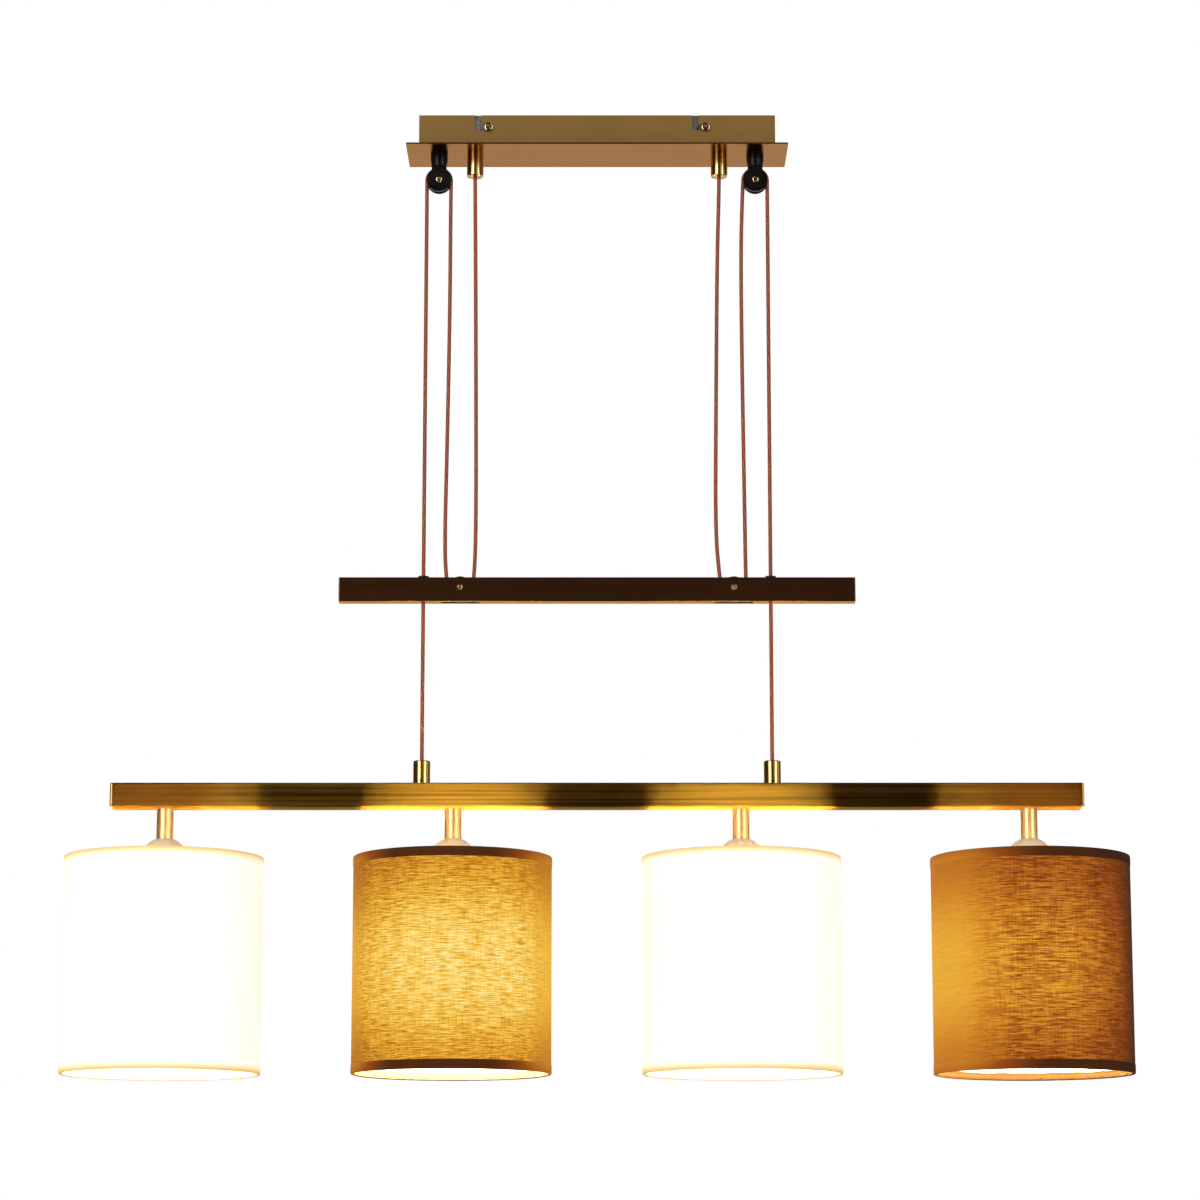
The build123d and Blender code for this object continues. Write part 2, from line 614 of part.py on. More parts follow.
def lamp_end_caps():
    """Caps that close the lamp bar's ends."""
    return [
        end_cap(side, LAMP_LENGTH / 2 - LAMP_CAP, LAMP_CAP, LAMP_PLUG, LAMP_SECTION, LAMP_SECTION,
                LAMP_WALL, LAMP_EDGE_RADIUS, LAMP_TOP)
        for _, side in SIDES
    ]


def lamp_gland_nuts():
    """Nuts on the lamp glands' studs, under the tube's upper wall."""
    return [hex_nut(side * LAMP_STRAND_X, LAMP_TOP - LAMP_WALL - NUT_THICKNESS) for _, side in SIDES]


def bar_wires():
    """Line and neutral wires along the lamp bar's floor, past the nipples' nuts."""
    reach = max(lamp_xs()) + NUT_FLATS
    wires = []
    for _, side in SIDES:
        wire = Cylinder(BAR_WIRE / 2, 2 * reach, rotation=(0, 90, 0))
        floor = LAMP_BOTTOM + LAMP_WALL + THREAD_PLAY
        wires.append(Pos(0, side * BAR_WIRE_Y, floor + BAR_WIRE / 2) * wire)
    return wires


NIPPLE_TOP = LAMP_BOTTOM + LAMP_WALL + NUT_THICKNESS + STUD_SPARE
NIPPLE_LOW = HOLDER_TOP - NIPPLE_ENTRY


def lamp_leads():
    """A two-core lead through each nipple, from the bar into the lampholder."""
    return [upright(LEAD_DIAMETER, NIPPLE_LOW - LEAD_SPARE, NIPPLE_TOP + LEAD_SPARE, x) for x in lamp_xs()]


def stems():
    """Spacer tubes between the bar and the lampholders."""
    bore = STEM_DIAMETER / 2 - STEM_WALL
    return [ring(STEM_DIAMETER / 2, bore, HOLDER_TOP, LAMP_BOTTOM, x) for x in lamp_xs()]


def stem_nipples():
    """Threaded tubes that hold bar, stem and lampholder together."""
    return [ring(STUD / 2, NIPPLE_BORE / 2, NIPPLE_LOW, NIPPLE_TOP, x) for x in lamp_xs()]


def stem_nuts():
    """Nuts on the nipples, inside the bar."""
    return [hex_nut(x, LAMP_BOTTOM + LAMP_WALL) for x in lamp_xs()]


def turned(outline):
    """A solid of revolution from a closed outline of (radius, drop below the holder's top) points."""
    return revolve(Plane.XZ * make_face(outline), Axis.Z)


def at_lamps(solid):
    """One copy of a turned piece under each stem."""
    return [Pos(x, 0, HOLDER_TOP) * solid for x in lamp_xs()]


def lampholder_caps():
    """Domed caps, screwed onto the nipples."""
    hole = STUD / 2 + THREAD_PLAY
    inner = CAP_RADIUS - CAP_WALL
    neck = Vector(CAP_NECK_RADIUS, -CAP_NECK_DROP)
    top = Vector(CAP_TOP_RADIUS, 0)
    middle = (neck + top) / 2 + Vector(CAP_BULGE, CAP_BULGE) / math.sqrt(2)
    dome = ThreePointArc(top, middle, neck)
    rest = Polyline(
        neck,
        (CAP_RADIUS, -CAP_SHOULDER_DROP),
        (CAP_RADIUS, -CAP_HEIGHT),
        (inner, -CAP_HEIGHT),
        (inner, -CAP_SHOULDER_DROP - CAP_WALL / 2),
        (CAP_NECK_RADIUS - CAP_WALL, -CAP_NECK_DROP - CAP_WALL),
        (CAP_TOP_RADIUS, -CAP_WALL - CAP_BULGE),
        (CAP_BOSS_RADIUS, -CAP_WALL - CAP_BULGE),
        (CAP_BOSS_RADIUS, -NIPPLE_ENTRY),
        (hole, -NIPPLE_ENTRY),
        (hole, 0),
        top,
    )
    return at_lamps(turned([dome, rest]))


def lampholder_bodies():
    """Sockets with a flange that the shade's fitter hangs from."""
    outline = Polyline(
        (0, -BODY_TOP_DROP),
        (BODY_RADIUS, -BODY_TOP_DROP),
        (BODY_RADIUS, -CAP_HEIGHT),
        (CAP_RADIUS, -CAP_HEIGHT),
        (CAP_RADIUS, -CAP_HEIGHT - BODY_FLANGE),
        (BODY_RADIUS, -CAP_HEIGHT - BODY_FLANGE),
        (BODY_RADIUS, -BODY_HEIGHT),
        (SOCKET_BORE, -BODY_HEIGHT),
        (SOCKET_BORE, -BODY_FLOOR_DROP),
        (0, -BODY_FLOOR_DROP),
        close=True,
    )
    return at_lamps(turned([outline]))


def lampholder_contacts():
    """A threaded shell and a centre contact in each socket."""
    shell_inner = SOCKET_BORE - SLIP_PLAY - SHELL_WALL
    shell = ring(SOCKET_BORE - SLIP_PLAY, shell_inner, SHELL_LIP - BODY_HEIGHT, -SHELL_TOP_DROP)
    contact = upright(2 * CONTACT_RADIUS, -BODY_FLOOR_DROP - CONTACT_THICKNESS, -BODY_FLOOR_DROP)
    return at_lamps(shell) + at_lamps(contact)


def shade_clamp_rings():
    """Rings that screw up the sockets and clamp the shades' fitters."""
    bore = BODY_RADIUS + SLIP_PLAY
    top = FITTER_Z - FITTER_THICKNESS
    return [ring(bore + CLAMP_WIDTH, bore, top - CLAMP_HEIGHT, top, x) for x in lamp_xs()]


def shade_top_frames():
    """Each shade's upper wire ring, its spokes and the fitter that hangs on the socket."""
    hole = BODY_RADIUS + SLIP_PLAY
    outer = hole + FITTER_WIDTH
    ring_z = SHADE_TOP - WIRE_FROM_RIM
    fitter_z = FITTER_Z - FITTER_THICKNESS / 2
    frame = Pos(0, 0, ring_z) * Torus(WIRE_RING_RADIUS, WIRE / 2)
    frame += ring(outer, hole, FITTER_Z - FITTER_THICKNESS, FITTER_Z)
    for i in range(SPOKES):
        angle = math.radians(90 + i * 360 / SPOKES)
        along = (math.cos(angle), math.sin(angle))
        inner_end = outer - WIRE / 2
        start = (inner_end * along[0], inner_end * along[1], fitter_z)
        end = (WIRE_RING_RADIUS * along[0], WIRE_RING_RADIUS * along[1], ring_z)
        frame += strut(start, end, WIRE)
    return [Pos(x, 0, 0) * frame for x in lamp_xs()]


def shade_bottom_rings():
    """Each shade's lower wire ring."""
    hoop = Pos(0, 0, SHADE_BOTTOM + WIRE_FROM_RIM) * Torus(WIRE_RING_RADIUS, WIRE / 2)
    return [Pos(x, 0, 0) * hoop for x in lamp_xs()]


def shade(x):
    """Drum of laminated cloth with a hem round each rim."""
    outer = SHADE_DIAMETER / 2
    drum = ring(outer - HEM_PROUD, SHADE_INNER_RADIUS, SHADE_BOTTOM, SHADE_TOP, x)
    for low in (SHADE_BOTTOM, SHADE_TOP - HEM_HEIGHT):
        drum += ring(outer, SHADE_INNER_RADIUS, low, low + HEM_HEIGHT, x)
    return drum


BULB_TIP = -BODY_FLOOR_DROP - CONTACT_THICKNESS - BULB_TIP_GAP
BULB_CAP_LOW = BULB_TIP - BULB_BASE_LENGTH


def bulb_bases():
    """Screw caps of the bulbs, with a stepped insulator and a tip."""
    shoulder = BULB_TIP - BULB_TIP_HEIGHT
    skirt = shoulder - BULB_SHOULDER_HEIGHT
    outline = Polyline(
        (0, BULB_TIP),
        (BULB_TIP_RADIUS, BULB_TIP),
        (BULB_TIP_RADIUS, shoulder),
        (BULB_SHOULDER_RADIUS, shoulder),
        (BULB_BASE_RADIUS, skirt),
        (BULB_BASE_RADIUS, BULB_CAP_LOW),
        (BULB_BASE_RADIUS - BULB_BASE_WALL, BULB_CAP_LOW),
        (BULB_BASE_RADIUS - BULB_BASE_WALL, skirt),
        (0, skirt),
        close=True,
    )
    return at_lamps(turned([outline]))


def bulb_outline(radius, neck_radius, foot):
    """A pear-shaped half outline, as curves from the neck to the foot on the axis."""
    centre = Vector(0, foot + radius)
    neck = Vector(neck_radius, BULB_CAP_LOW)
    collar = Vector(neck_radius, BULB_CAP_LOW - BULB_NECK_LENGTH)
    bearing = math.radians(BULB_FLARE_ANGLE)
    meeting = centre + Vector(math.cos(bearing), math.sin(bearing)) * radius
    lower = centre + Vector(radius, -radius) / math.sqrt(2)
    leaving = (math.sin(bearing), -math.cos(bearing))
    flare = Spline(collar, meeting, tangents=((0, -1), leaving))
    return [Line(neck, collar), flare, ThreePointArc(meeting, lower, Vector(0, foot))]


def bulb_globes():
    """Pear-shaped glass of the bulbs."""
    foot = BULB_TIP - BULB_LENGTH
    outer = bulb_outline(BULB_RADIUS, BULB_NECK_RADIUS, foot)
    inner = bulb_outline(BULB_RADIUS - BULB_GLASS, BULB_NECK_RADIUS - BULB_GLASS, foot + BULB_GLASS)
    lip = Line(inner[0] @ 0, outer[0] @ 0)
    low = Line(outer[2] @ 1, inner[2] @ 1)
    return at_lamps(turned([lip, *outer, low, *inner]))


def build_nodes():
    """Every node's name with its solid, or with its group of solids."""
    nodes = {
        "ceiling_bracket": ceiling_bracket(),
        "canopy_box": canopy_box(),
        "canopy_plate": canopy_plate(),
        "canopy_screws": canopy_screws(),
        "terminal_block": terminal_block(),
        "terminal_screws": terminal_screws(),
        "earth_screw": earth_screw(),
        "canopy_lock_nuts": canopy_lock_nuts(),
        "supply_leads": supply_leads(),
        "pulley_axle_screws": axle_screws(CEILING_WHEEL_X, CEILING_AXLE_Z, FORK_DEPTH, AXLE_HEAD),
        "weight_tube": weight_tube(),
        "weight_end_caps": weight_end_caps(),
        "weight_bars": weight_bars(),
        "weight_axle_screws": axle_screws(WEIGHT_WHEEL_X, WEIGHT_AXLE_Z, WEIGHT_DEPTH, WEIGHT_AXLE_HEAD),
        "cord_bushes": cord_bushes(),
        "lamp_tube": lamp_tube(),
        "lamp_end_caps": lamp_end_caps(),
        "lamp_gland_nuts": lamp_gland_nuts(),
        "gland_grub_screws": gland_grub_screws(),
        "bar_wires": bar_wires(),
        "lamp_leads": lamp_leads(),
        "stems": stems(),
        "stem_nipples": stem_nipples(),
        "stem_nuts": stem_nuts(),
        "lampholder_caps": lampholder_caps(),
        "lampholder_bodies": lampholder_bodies(),
        "lampholder_contacts": lampholder_contacts(),
        "shade_clamp_rings": shade_clamp_rings(),
        "shade_top_frames": shade_top_frames(),
        "shade_bottom_rings": shade_bottom_rings(),
        "bulb_bases": bulb_bases(),
        "bulb_globes": bulb_globes(),
    }
    for name, side in SIDES:
        nodes[f"pulley_fork_{name}"] = pulley_fork(side * CEILING_WHEEL_X)
        nodes[f"ceiling_gland_{name}"] = ceiling_gland(side * ANCHOR_X)
        nodes[f"lamp_gland_{name}"] = lamp_gland(side * LAMP_STRAND_X)
        nodes[f"ceiling_wheel_{name}"] = wheel(side * CEILING_WHEEL_X, CEILING_AXLE_Z)
        nodes[f"weight_wheel_{name}"] = wheel(side * WEIGHT_WHEEL_X, WEIGHT_AXLE_Z)
        nodes[f"wheel_housing_{name}"] = wheel_housing(side * WEIGHT_WHEEL_X)
        nodes[f"upper_cord_wrap_{name}"] = wrap(side * CEILING_WHEEL_X, CEILING_AXLE_Z, True)
        nodes[f"lower_cord_wrap_{name}"] = wrap(side * WEIGHT_WHEEL_X, WEIGHT_AXLE_Z, False)
        nodes[f"lamp_cord_{name}"] = strand(side * LAMP_STRAND_X, LAMP_CORD_END, CEILING_AXLE_Z)
        nodes[f"weight_cord_{name}"] = strand(side * WEIGHT_STRAND_X, WEIGHT_AXLE_Z, CEILING_AXLE_Z)
        nodes[f"anchor_cord_{name}"] = strand(side * ANCHOR_X, WEIGHT_AXLE_Z, ANCHOR_TOP)
    for number, x in enumerate(lamp_xs(), start=1):
        nodes[f"shade_{number}"] = shade(x)
    return nodes


def report_cords(nodes):
    """Compare each cord solid's volume with its section times its length."""
    section = math.pi * CORD**2 / 4
    runs = {
        "upper_cord_wrap": math.pi * WRAP_RADIUS,
        "lower_cord_wrap": math.pi * WRAP_RADIUS,
        "lamp_cord": CEILING_AXLE_Z - LAMP_CORD_END,
        "weight_cord": CEILING_AXLE_Z - WEIGHT_AXLE_Z,
        "anchor_cord": ANCHOR_TOP - WEIGHT_AXLE_Z,
    }
    for stem, length in runs.items():
        for name, _ in SIDES:
            share = nodes[f"{stem}_{name}"].volume / (section * length)
            print(f"{stem}_{name}: length {length:.1f}, arc radius {WRAP_RADIUS}, volume share {share:.4f}")


def main():
    """Write one STEP file for each node."""
    os.makedirs("parts", exist_ok=True)
    nodes = build_nodes()
    report_cords(nodes)
    for name, shape in nodes.items():
        if isinstance(shape, list):
            shape = Compound([solid for piece in shape for solid in piece.solids()])
        export_step(shape, f"parts/{name}.step")
    print(len(nodes), "nodes")


main()
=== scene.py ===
"""Looks of a rise-and-fall pendant light: cloth shades, cords, metal finishes and a plain white studio.

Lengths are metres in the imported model's own frame: the ceiling face is Z = 0, +X runs along the bars
and +Y points away from the camera. Colours are written as the eye sees them, from 0 to 255.
"""

import json
import logging
import math
from dataclasses import dataclass
from enum import Enum
from typing import Any, Dict, List, Protocol, Sequence, Tuple

import bpy
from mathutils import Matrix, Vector


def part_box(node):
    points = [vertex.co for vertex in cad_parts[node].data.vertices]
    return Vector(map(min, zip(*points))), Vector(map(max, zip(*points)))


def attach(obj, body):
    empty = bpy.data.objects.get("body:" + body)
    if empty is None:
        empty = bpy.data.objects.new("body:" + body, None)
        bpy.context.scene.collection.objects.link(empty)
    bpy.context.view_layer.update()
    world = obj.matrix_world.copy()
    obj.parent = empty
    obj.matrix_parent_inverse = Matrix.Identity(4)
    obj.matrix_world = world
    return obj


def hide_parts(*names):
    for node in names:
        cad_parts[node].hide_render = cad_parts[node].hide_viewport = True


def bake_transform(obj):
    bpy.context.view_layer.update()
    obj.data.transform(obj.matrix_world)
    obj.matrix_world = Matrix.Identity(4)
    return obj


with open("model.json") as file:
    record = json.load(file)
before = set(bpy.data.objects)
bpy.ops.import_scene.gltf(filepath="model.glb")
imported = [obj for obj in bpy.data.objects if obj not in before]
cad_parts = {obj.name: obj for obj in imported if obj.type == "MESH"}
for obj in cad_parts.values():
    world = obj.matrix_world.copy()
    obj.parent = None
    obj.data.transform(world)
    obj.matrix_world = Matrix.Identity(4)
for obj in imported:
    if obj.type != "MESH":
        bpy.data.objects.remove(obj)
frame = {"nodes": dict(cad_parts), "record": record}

Colour = Tuple[int, int, int]
Point = Tuple[float, float, float]
Socket = bpy.types.NodeSocket
log = logging.getLogger("pendant")

SIDES: Dict[str, int] = {"left": -1, "right": 1}
CLOTH_UV = "cloth"
CORD_UV = "cord"
HEM_FADE = 0.0095
HEM_SPREAD = 0.28
HEM_SIDE_SHARE = 0.78
SIDE_SHARE = 0.85
WHITE = (1.0, 1.0, 1.0, 1.0)
BLACK = (0.0, 0.0, 0.0, 1.0)


def linear(colour: Colour) -> Tuple[float, float, float, float]:
    """Turn a colour as seen into the linear values that a shader takes.

    Args:
        colour: Red, green and blue from 0 to 255.

    Returns:
        Linear red, green and blue, and an alpha of 1.
    """
    shares = [c / 255 for c in colour]
    low, slope, gain, power = 0.04045, 12.92, 1.055, 2.4
    values = [s / slope if s <= low else ((s + gain - 1) / gain) ** power for s in shares]
    return values[0], values[1], values[2], 1.0


def put(name: str, data: Any) -> bpy.types.Object:
    """Put a new object into the scene.

    Args:
        name: Its name.
        data: Its mesh, lamp or camera.

    Returns:
        The object.
    """
    thing = bpy.data.objects.new(name, data)
    bpy.context.scene.collection.objects.link(thing)
    return thing


class Bench:
    """Lays out the nodes of a material or of the world."""

    def __init__(self, owner: Any, shader: str = "Principled BSDF") -> None:
        """Start with the plain shader.

        Args:
            owner: The material or the world.
            shader: The name of its shader node.
        """
        owner.use_nodes = True
        self.owner = owner
        self.tree = owner.node_tree
        self.shader = self.tree.nodes[shader]

    @classmethod
    def material(cls, name: str) -> "Bench":
        """Start a new material."""
        return cls(bpy.data.materials.new(name))

    def feed(self, node: bpy.types.Node, socket: Any, value: Any) -> None:
        """Link an output to a node's input, or set the input to a value."""
        if isinstance(value, Socket):
            self.tree.links.new(value, node.inputs[socket])
        else:
            node.inputs[socket].default_value = value

    def surface(self, **values: Any) -> None:
        """Feed the shader's inputs, whose names are given with underscores for spaces."""
        for name, value in values.items():
            self.feed(self.shader, name.replace("_", " "), value)

    def add(self, kind: str, inputs: Dict[Any, Any], **settings: Any) -> bpy.types.Node:
        """Add a node.

        Args:
            kind: The node's type, without its common prefix.
            inputs: Values or outputs by socket name or number.
            settings: The node's own settings.

        Returns:
            The new node.
        """
        node = self.tree.nodes.new("ShaderNode" + kind)
        for name, value in settings.items():
            setattr(node, name, value)
        for socket, value in inputs.items():
            self.feed(node, socket, value)
        return node

    def place(self) -> Socket:
        """Give the coordinates in the object's own frame."""
        return self.add("TexCoord", {}).outputs["Object"]

    def unwrapped(self, layer: str) -> Socket:
        """Give the coordinates of a piece's own UV map."""
        return self.add("UVMap", {}, uv_map=layer).outputs["UV"]

    def axis(self, vector: Socket, letter: str) -> Socket:
        """Give one axis of a vector."""
        return self.add("SeparateXYZ", {0: vector}).outputs[letter]

    def noise(
        self, vector: Socket, scale: Sequence[float], detail: float = 3.0, shift: float = 0.0
    ) -> Socket:
        """Add soft noise with its own scale along each axis.

        Args:
            vector: The coordinates.
            scale: Waves per metre along each axis.
            detail: How many finer layers the noise has.
            shift: How far the pattern is moved, so that two noises differ.

        Returns:
            The noise, about 0.5 in the middle.
        """
        moved = self.add("Mapping", {"Vector": vector, "Scale": scale, "Location": (shift, shift, shift)})
        return self.add("TexNoise", {"Vector": moved.outputs[0], "Scale": 1.0, "Detail": detail}).outputs[0]

    def speckle(self, vector: Socket, fineness: float, detail: float = 2.0, shift: float = 0.0) -> Socket:
        """Add soft noise that is alike along all axes, with so many waves per metre."""
        return self.noise(vector, (fineness, fineness, fineness), detail, shift)

    def ease(self, value: Socket, start: float, end: float, low: float = 0.0, high: float = 1.0) -> Socket:
        """Turn a range of values smoothly into another.

        Args:
            value: What is turned.
            start: The value that gives low.
            end: The value that gives high.
            low: The result at and before start.
            high: The result at and after end.

        Returns:
            The eased value.
        """
        inputs = {"Value": value, "From Min": start, "From Max": end, "To Min": low, "To Max": high}
        return self.add("MapRange", inputs, interpolation_type="SMOOTHSTEP").outputs[0]

    def sum(self, operation: str, first: Any, second: Any = 0.0) -> Socket:
        """Do one sum on numbers."""
        return self.add("Math", {0: first, 1: second}, operation=operation).outputs[0]

    def mix(self, share: Any, first: Any, second: Any, blend: str = "MIX") -> Socket:
        """Mix two colours.

        Args:
            share: How much of the second, from 0 to 1.
            first: A colour or an output.
            second: A colour or an output.
            blend: How they mix.

        Returns:
            The mixed colour.
        """
        node = self.add("Mix", {0: share, 6: first, 7: second}, data_type="RGBA", blend_type=blend)
        return node.outputs[2]

    def between(self, share: Any, first: Any, second: Any) -> Socket:
        """Give a number between two others, by a share from 0 to 1."""
        return self.add("Mix", {0: share, 2: first, 3: second}, data_type="FLOAT").outputs[0]

    def ramp(self, value: Socket, stops: Sequence[Tuple[float, Colour]]) -> Socket:
        """Turn a number into a colour.

        Args:
            value: The number, from 0 to 1.
            stops: Numbers and their colours, in order.

        Returns:
            The colour.
        """
        node = self.add("ValToRGB", {0: value})
        marks = node.color_ramp.elements
        while len(marks) < len(stops):
            marks.new(1.0)
        for mark, (place, colour) in zip(marks, stops):
            mark.position = place
            mark.color = linear(colour)
        return node.outputs[0]

    def relief(self, height: Socket, depth: float, strength: float = 1.0) -> None:
        """Raise the surface by a height pattern.

        Args:
            height: The pattern, from 0 to 1.
            depth: How high 1 stands.
            strength: How much of it shows.
        """
        bump = self.add("Bump", {"Height": height, "Distance": depth, "Strength": strength})
        self.surface(Normal=bump.outputs[0])


class Finish(Protocol):
    """What a surface is made of and how it is finished."""

    @property
    def name(self) -> str:
        """Give the finish's name."""

    def build(self) -> bpy.types.Material:
        """Make the material."""


class Grain(Enum):
    """The way that a metal is brushed or turned, as waves per metre along X, Y and Z."""

    ALONG_BAR = (3.0, 1100.0, 1100.0)
    ALONG_TUBE = (2.5, 450.0, 450.0)
    ROUND_POST = (4.0, 4.0, 3000.0)
    NONE = (240.0, 240.0, 240.0)


@dataclass(frozen=True)
class BrushedMetal:
    """Bare or lacquered metal with fine brush marks.

    The marks tint the metal, change its gloss and draw reflections out across the grain. The edge is the
    tint of what it mirrors at a low angle.
    """

    name: str
    colour: Colour
    dark: Colour
    roughness: float
    grain: Grain
    drawn_out: float = 0.0
    contrast: float = 0.35
    relief: float = 0.000004
    coat: float = 0.0
    metal: float = 1.0
    edge: Colour = (255, 255, 255)
    # Painted shade towards a long bar's ends: where it starts and is full along X, and how much tone is
    # left there.
    shaded_ends_from: float = 0.0
    shaded_ends_to: float = 0.0
    shaded_ends_least: float = 0.08
    coat_roughness: float = 0.15

    def tone(self, bench: Bench, place: Socket, marks: Socket) -> Socket:
        """Mix the metal's tone from its marks, soft clouds and, on a long bar, painted shade that darkens
        its ends.

        Args:
            bench: The material's nodes.
            place: The coordinates.
            marks: The brush marks.

        Returns:
            The tone, from 0, dark, to 1.
        """
        cloud = bench.noise(place, (9.0, 30.0, 30.0), detail=2.0, shift=3.7)
        streak = bench.ease(marks, 0.5 - self.contrast / 2, 0.5 + self.contrast / 2)
        tone = bench.sum("ADD", bench.ease(streak, 0.0, 1.0, 0.25, 0.8), bench.sum("MULTIPLY", cloud, 0.25))
        # Painted shade: the bar's outer ends get darker, because they mirror less light from the lit
        # shades.
        if self.shaded_ends_to:
            out = bench.sum("ABSOLUTE", bench.axis(place, "X"))
            left = bench.ease(out, self.shaded_ends_from, self.shaded_ends_to, 1.0, self.shaded_ends_least)
            tone = bench.sum("MULTIPLY", tone, left)
        return tone

    def build(self) -> bpy.types.Material:
        """Make the material."""
        bench = Bench.material(self.name)
        place = bench.place()
        marks = bench.noise(place, self.grain.value, detail=4.0)
        tone = self.tone(bench, place, marks)
        bench.surface(
            Base_Color=bench.mix(tone, linear(self.dark), linear(self.colour)),
            Metallic=self.metal,
            Roughness=bench.ease(marks, 0.25, 0.75, self.roughness * 0.85, self.roughness * 1.15),
            Specular_Tint=linear(self.edge),
            Coat_Weight=self.coat,
            Coat_Roughness=self.coat_roughness,
        )
        if self.grain is not Grain.NONE:
            bench.surface(Anisotropic=self.drawn_out, Tangent=self.across(bench))
        bench.relief(marks, self.relief)
        return bench.owner

    def across(self, bench: Bench) -> Socket:
        """Give the direction on the surface that crosses the marks."""
        normal = bench.add("NewGeometry", {}).outputs["Normal"]
        along = (1.0, 0.0, 0.0)
        if self.grain is Grain.ROUND_POST:
            upright = (0.0, 0.0, 1.0)
            along = bench.add("VectorMath", {0: normal, 1: upright}, operation="CROSS_PRODUCT").outputs[0]
        return bench.add("VectorMath", {0: normal, 1: along}, operation="CROSS_PRODUCT").outputs[0]


@dataclass(frozen=True)
class MattPaint:
    """Baked paint with a faint pearl, cloudy tone and orange peel."""

    name: str
    colour: Colour
    light: Colour
    roughness: float
    pearl_share: float = 0.45
    flake: float = 0.15
    peel_depth: float = 0.00003

    def build(self) -> bpy.types.Material:
        """Make the material."""
        bench = Bench.material(self.name)
        place = bench.place()
        pearl = bench.speckle(place, 2500.0)
        cloud = bench.speckle(place, 14.0, shift=1.3)
        peel = bench.speckle(place, 700.0, detail=1.0, shift=5.1)
        pearly, cloudy = (bench.ease(tone, 0.3, 0.7, 0.0, self.pearl_share) for tone in (pearl, cloud))
        bench.surface(
            Base_Color=bench.mix(bench.sum("ADD", pearly, cloudy), linear(self.colour), linear(self.light)),
            Metallic=self.flake,
            Roughness=bench.ease(pearl, 0.2, 0.8, self.roughness * 0.9, self.roughness * 1.1),
        )
        bench.relief(peel, self.peel_depth)
        return bench.owner


@dataclass(frozen=True)
class Moulded:
    """Moulded plastic or ceramic, with faint flow marks and finger-dulled gloss. Its glow is painted light.
    """

    name: str
    colour: Colour
    shade: Colour
    roughness: float
    coat: float = 0.0
    soft: float = 0.0
    glow: Colour = (0, 0, 0)
    gloss: float = 0.5
    soft_reach: Point = (0.006, 0.003, 0.0015)
    grit_depth: float = 0.000003

    def build(self) -> bpy.types.Material:
        """Make the material."""
        bench = Bench.material(self.name)
        place = bench.place()
        flow = bench.noise(place, (45.0, 45.0, 90.0), detail=3.0)
        grit = bench.speckle(place, 1800.0, detail=1.0, shift=2.2)
        bench.surface(
            Base_Color=bench.mix(bench.ease(flow, 0.35, 0.7), linear(self.colour), linear(self.shade)),
            Roughness=bench.ease(flow, 0.2, 0.8, self.roughness * 0.75, self.roughness * 1.3),
            Specular_IOR_Level=self.gloss,
            Coat_Weight=self.coat,
            Subsurface_Weight=self.soft,
            Subsurface_Radius=self.soft_reach,
            Subsurface_Scale=1.0,
            Emission_Color=linear(self.glow),
            Emission_Strength=1.0,
        )
        bench.relief(grit, self.grit_depth)
        return bench.owner


@dataclass(frozen=True)
class SpangledZinc:
    """Zinc-plated sheet with its faint crystal spangle."""

    name: str
    colour: Colour
    dark: Colour
    cells: float = 260.0
    bright_roughness: float = 0.5
    dark_roughness: float = 0.34
    dent_depth: float = 0.00001

    def build(self) -> bpy.types.Material:
        """Make the material."""
        bench = Bench.material(self.name)
        place = bench.place()
        inputs = {"Vector": place, "Scale": self.cells}
        spangle = bench.axis(bench.add("TexVoronoi", inputs).outputs["Color"], "X")
        bench.surface(
            Base_Color=bench.mix(spangle, linear(self.dark), linear(self.colour)),
            Metallic=1.0,
            Roughness=bench.ease(spangle, 0.0, 1.0, self.dark_roughness, self.bright_roughness),
        )
        bench.relief(bench.speckle(place, 900.0), self.dent_depth)
        return bench.owner


@dataclass(frozen=True)
class CordSheath:
    """Clear glossy sheath over copper strands that are laid in a long twist."""

    name: str
    colour: Colour
    gap: Colour
    strands: int = 5
    lay: float = 0.016
    strand_proud: float = 0.00012
    sheen: float = 0.2
    coat: float = 0.1
    coat_roughness: float = 0.15

    def build(self) -> bpy.types.Material:
        """Make the material."""
        bench = Bench.material(self.name)
        route = bench.unwrapped(CORD_UV)
        turn = bench.sum("MULTIPLY", bench.axis(route, "X"), float(self.strands))
        climb = bench.sum("DIVIDE", bench.axis(route, "Y"), self.lay)
        wave = bench.sum("PINGPONG", bench.sum("ADD", turn, climb), 0.5)
        strand = bench.ease(wave, 0.05, 0.3)
        bench.surface(
            Base_Color=bench.mix(strand, linear(self.gap), linear(self.colour)),
            Metallic=self.sheen,
            Roughness=bench.ease(strand, 0.0, 1.0, 0.5, 0.36),
            Coat_Weight=self.coat,
            Coat_Roughness=self.coat_roughness,
        )
        bench.relief(strand, self.strand_proud, 0.6)
        return bench.owner


@dataclass(frozen=True)
class SideLight:
    """Light from the neighbouring shades on a drum's left and right sides, where it hides the weave.

    Each side has the places across the drum, from -1 to 1, where this light is full and where it is gone.
    """

    level: float = 0.0
    left: Tuple[float, float] = (-3.0, -2.0)
    right: Tuple[float, float] = (3.0, 2.0)


@dataclass(frozen=True)
class ClothTones:
    """One cloth's own colours, a rim colour that is painted shade at a turned hem's edge, and the colours
    of light that comes through it, from dim to bright.
    """

    cloth: Colour
    yarn: Colour
    rim: Colour
    light: Tuple[Tuple[float, Colour], ...]
    strength: float


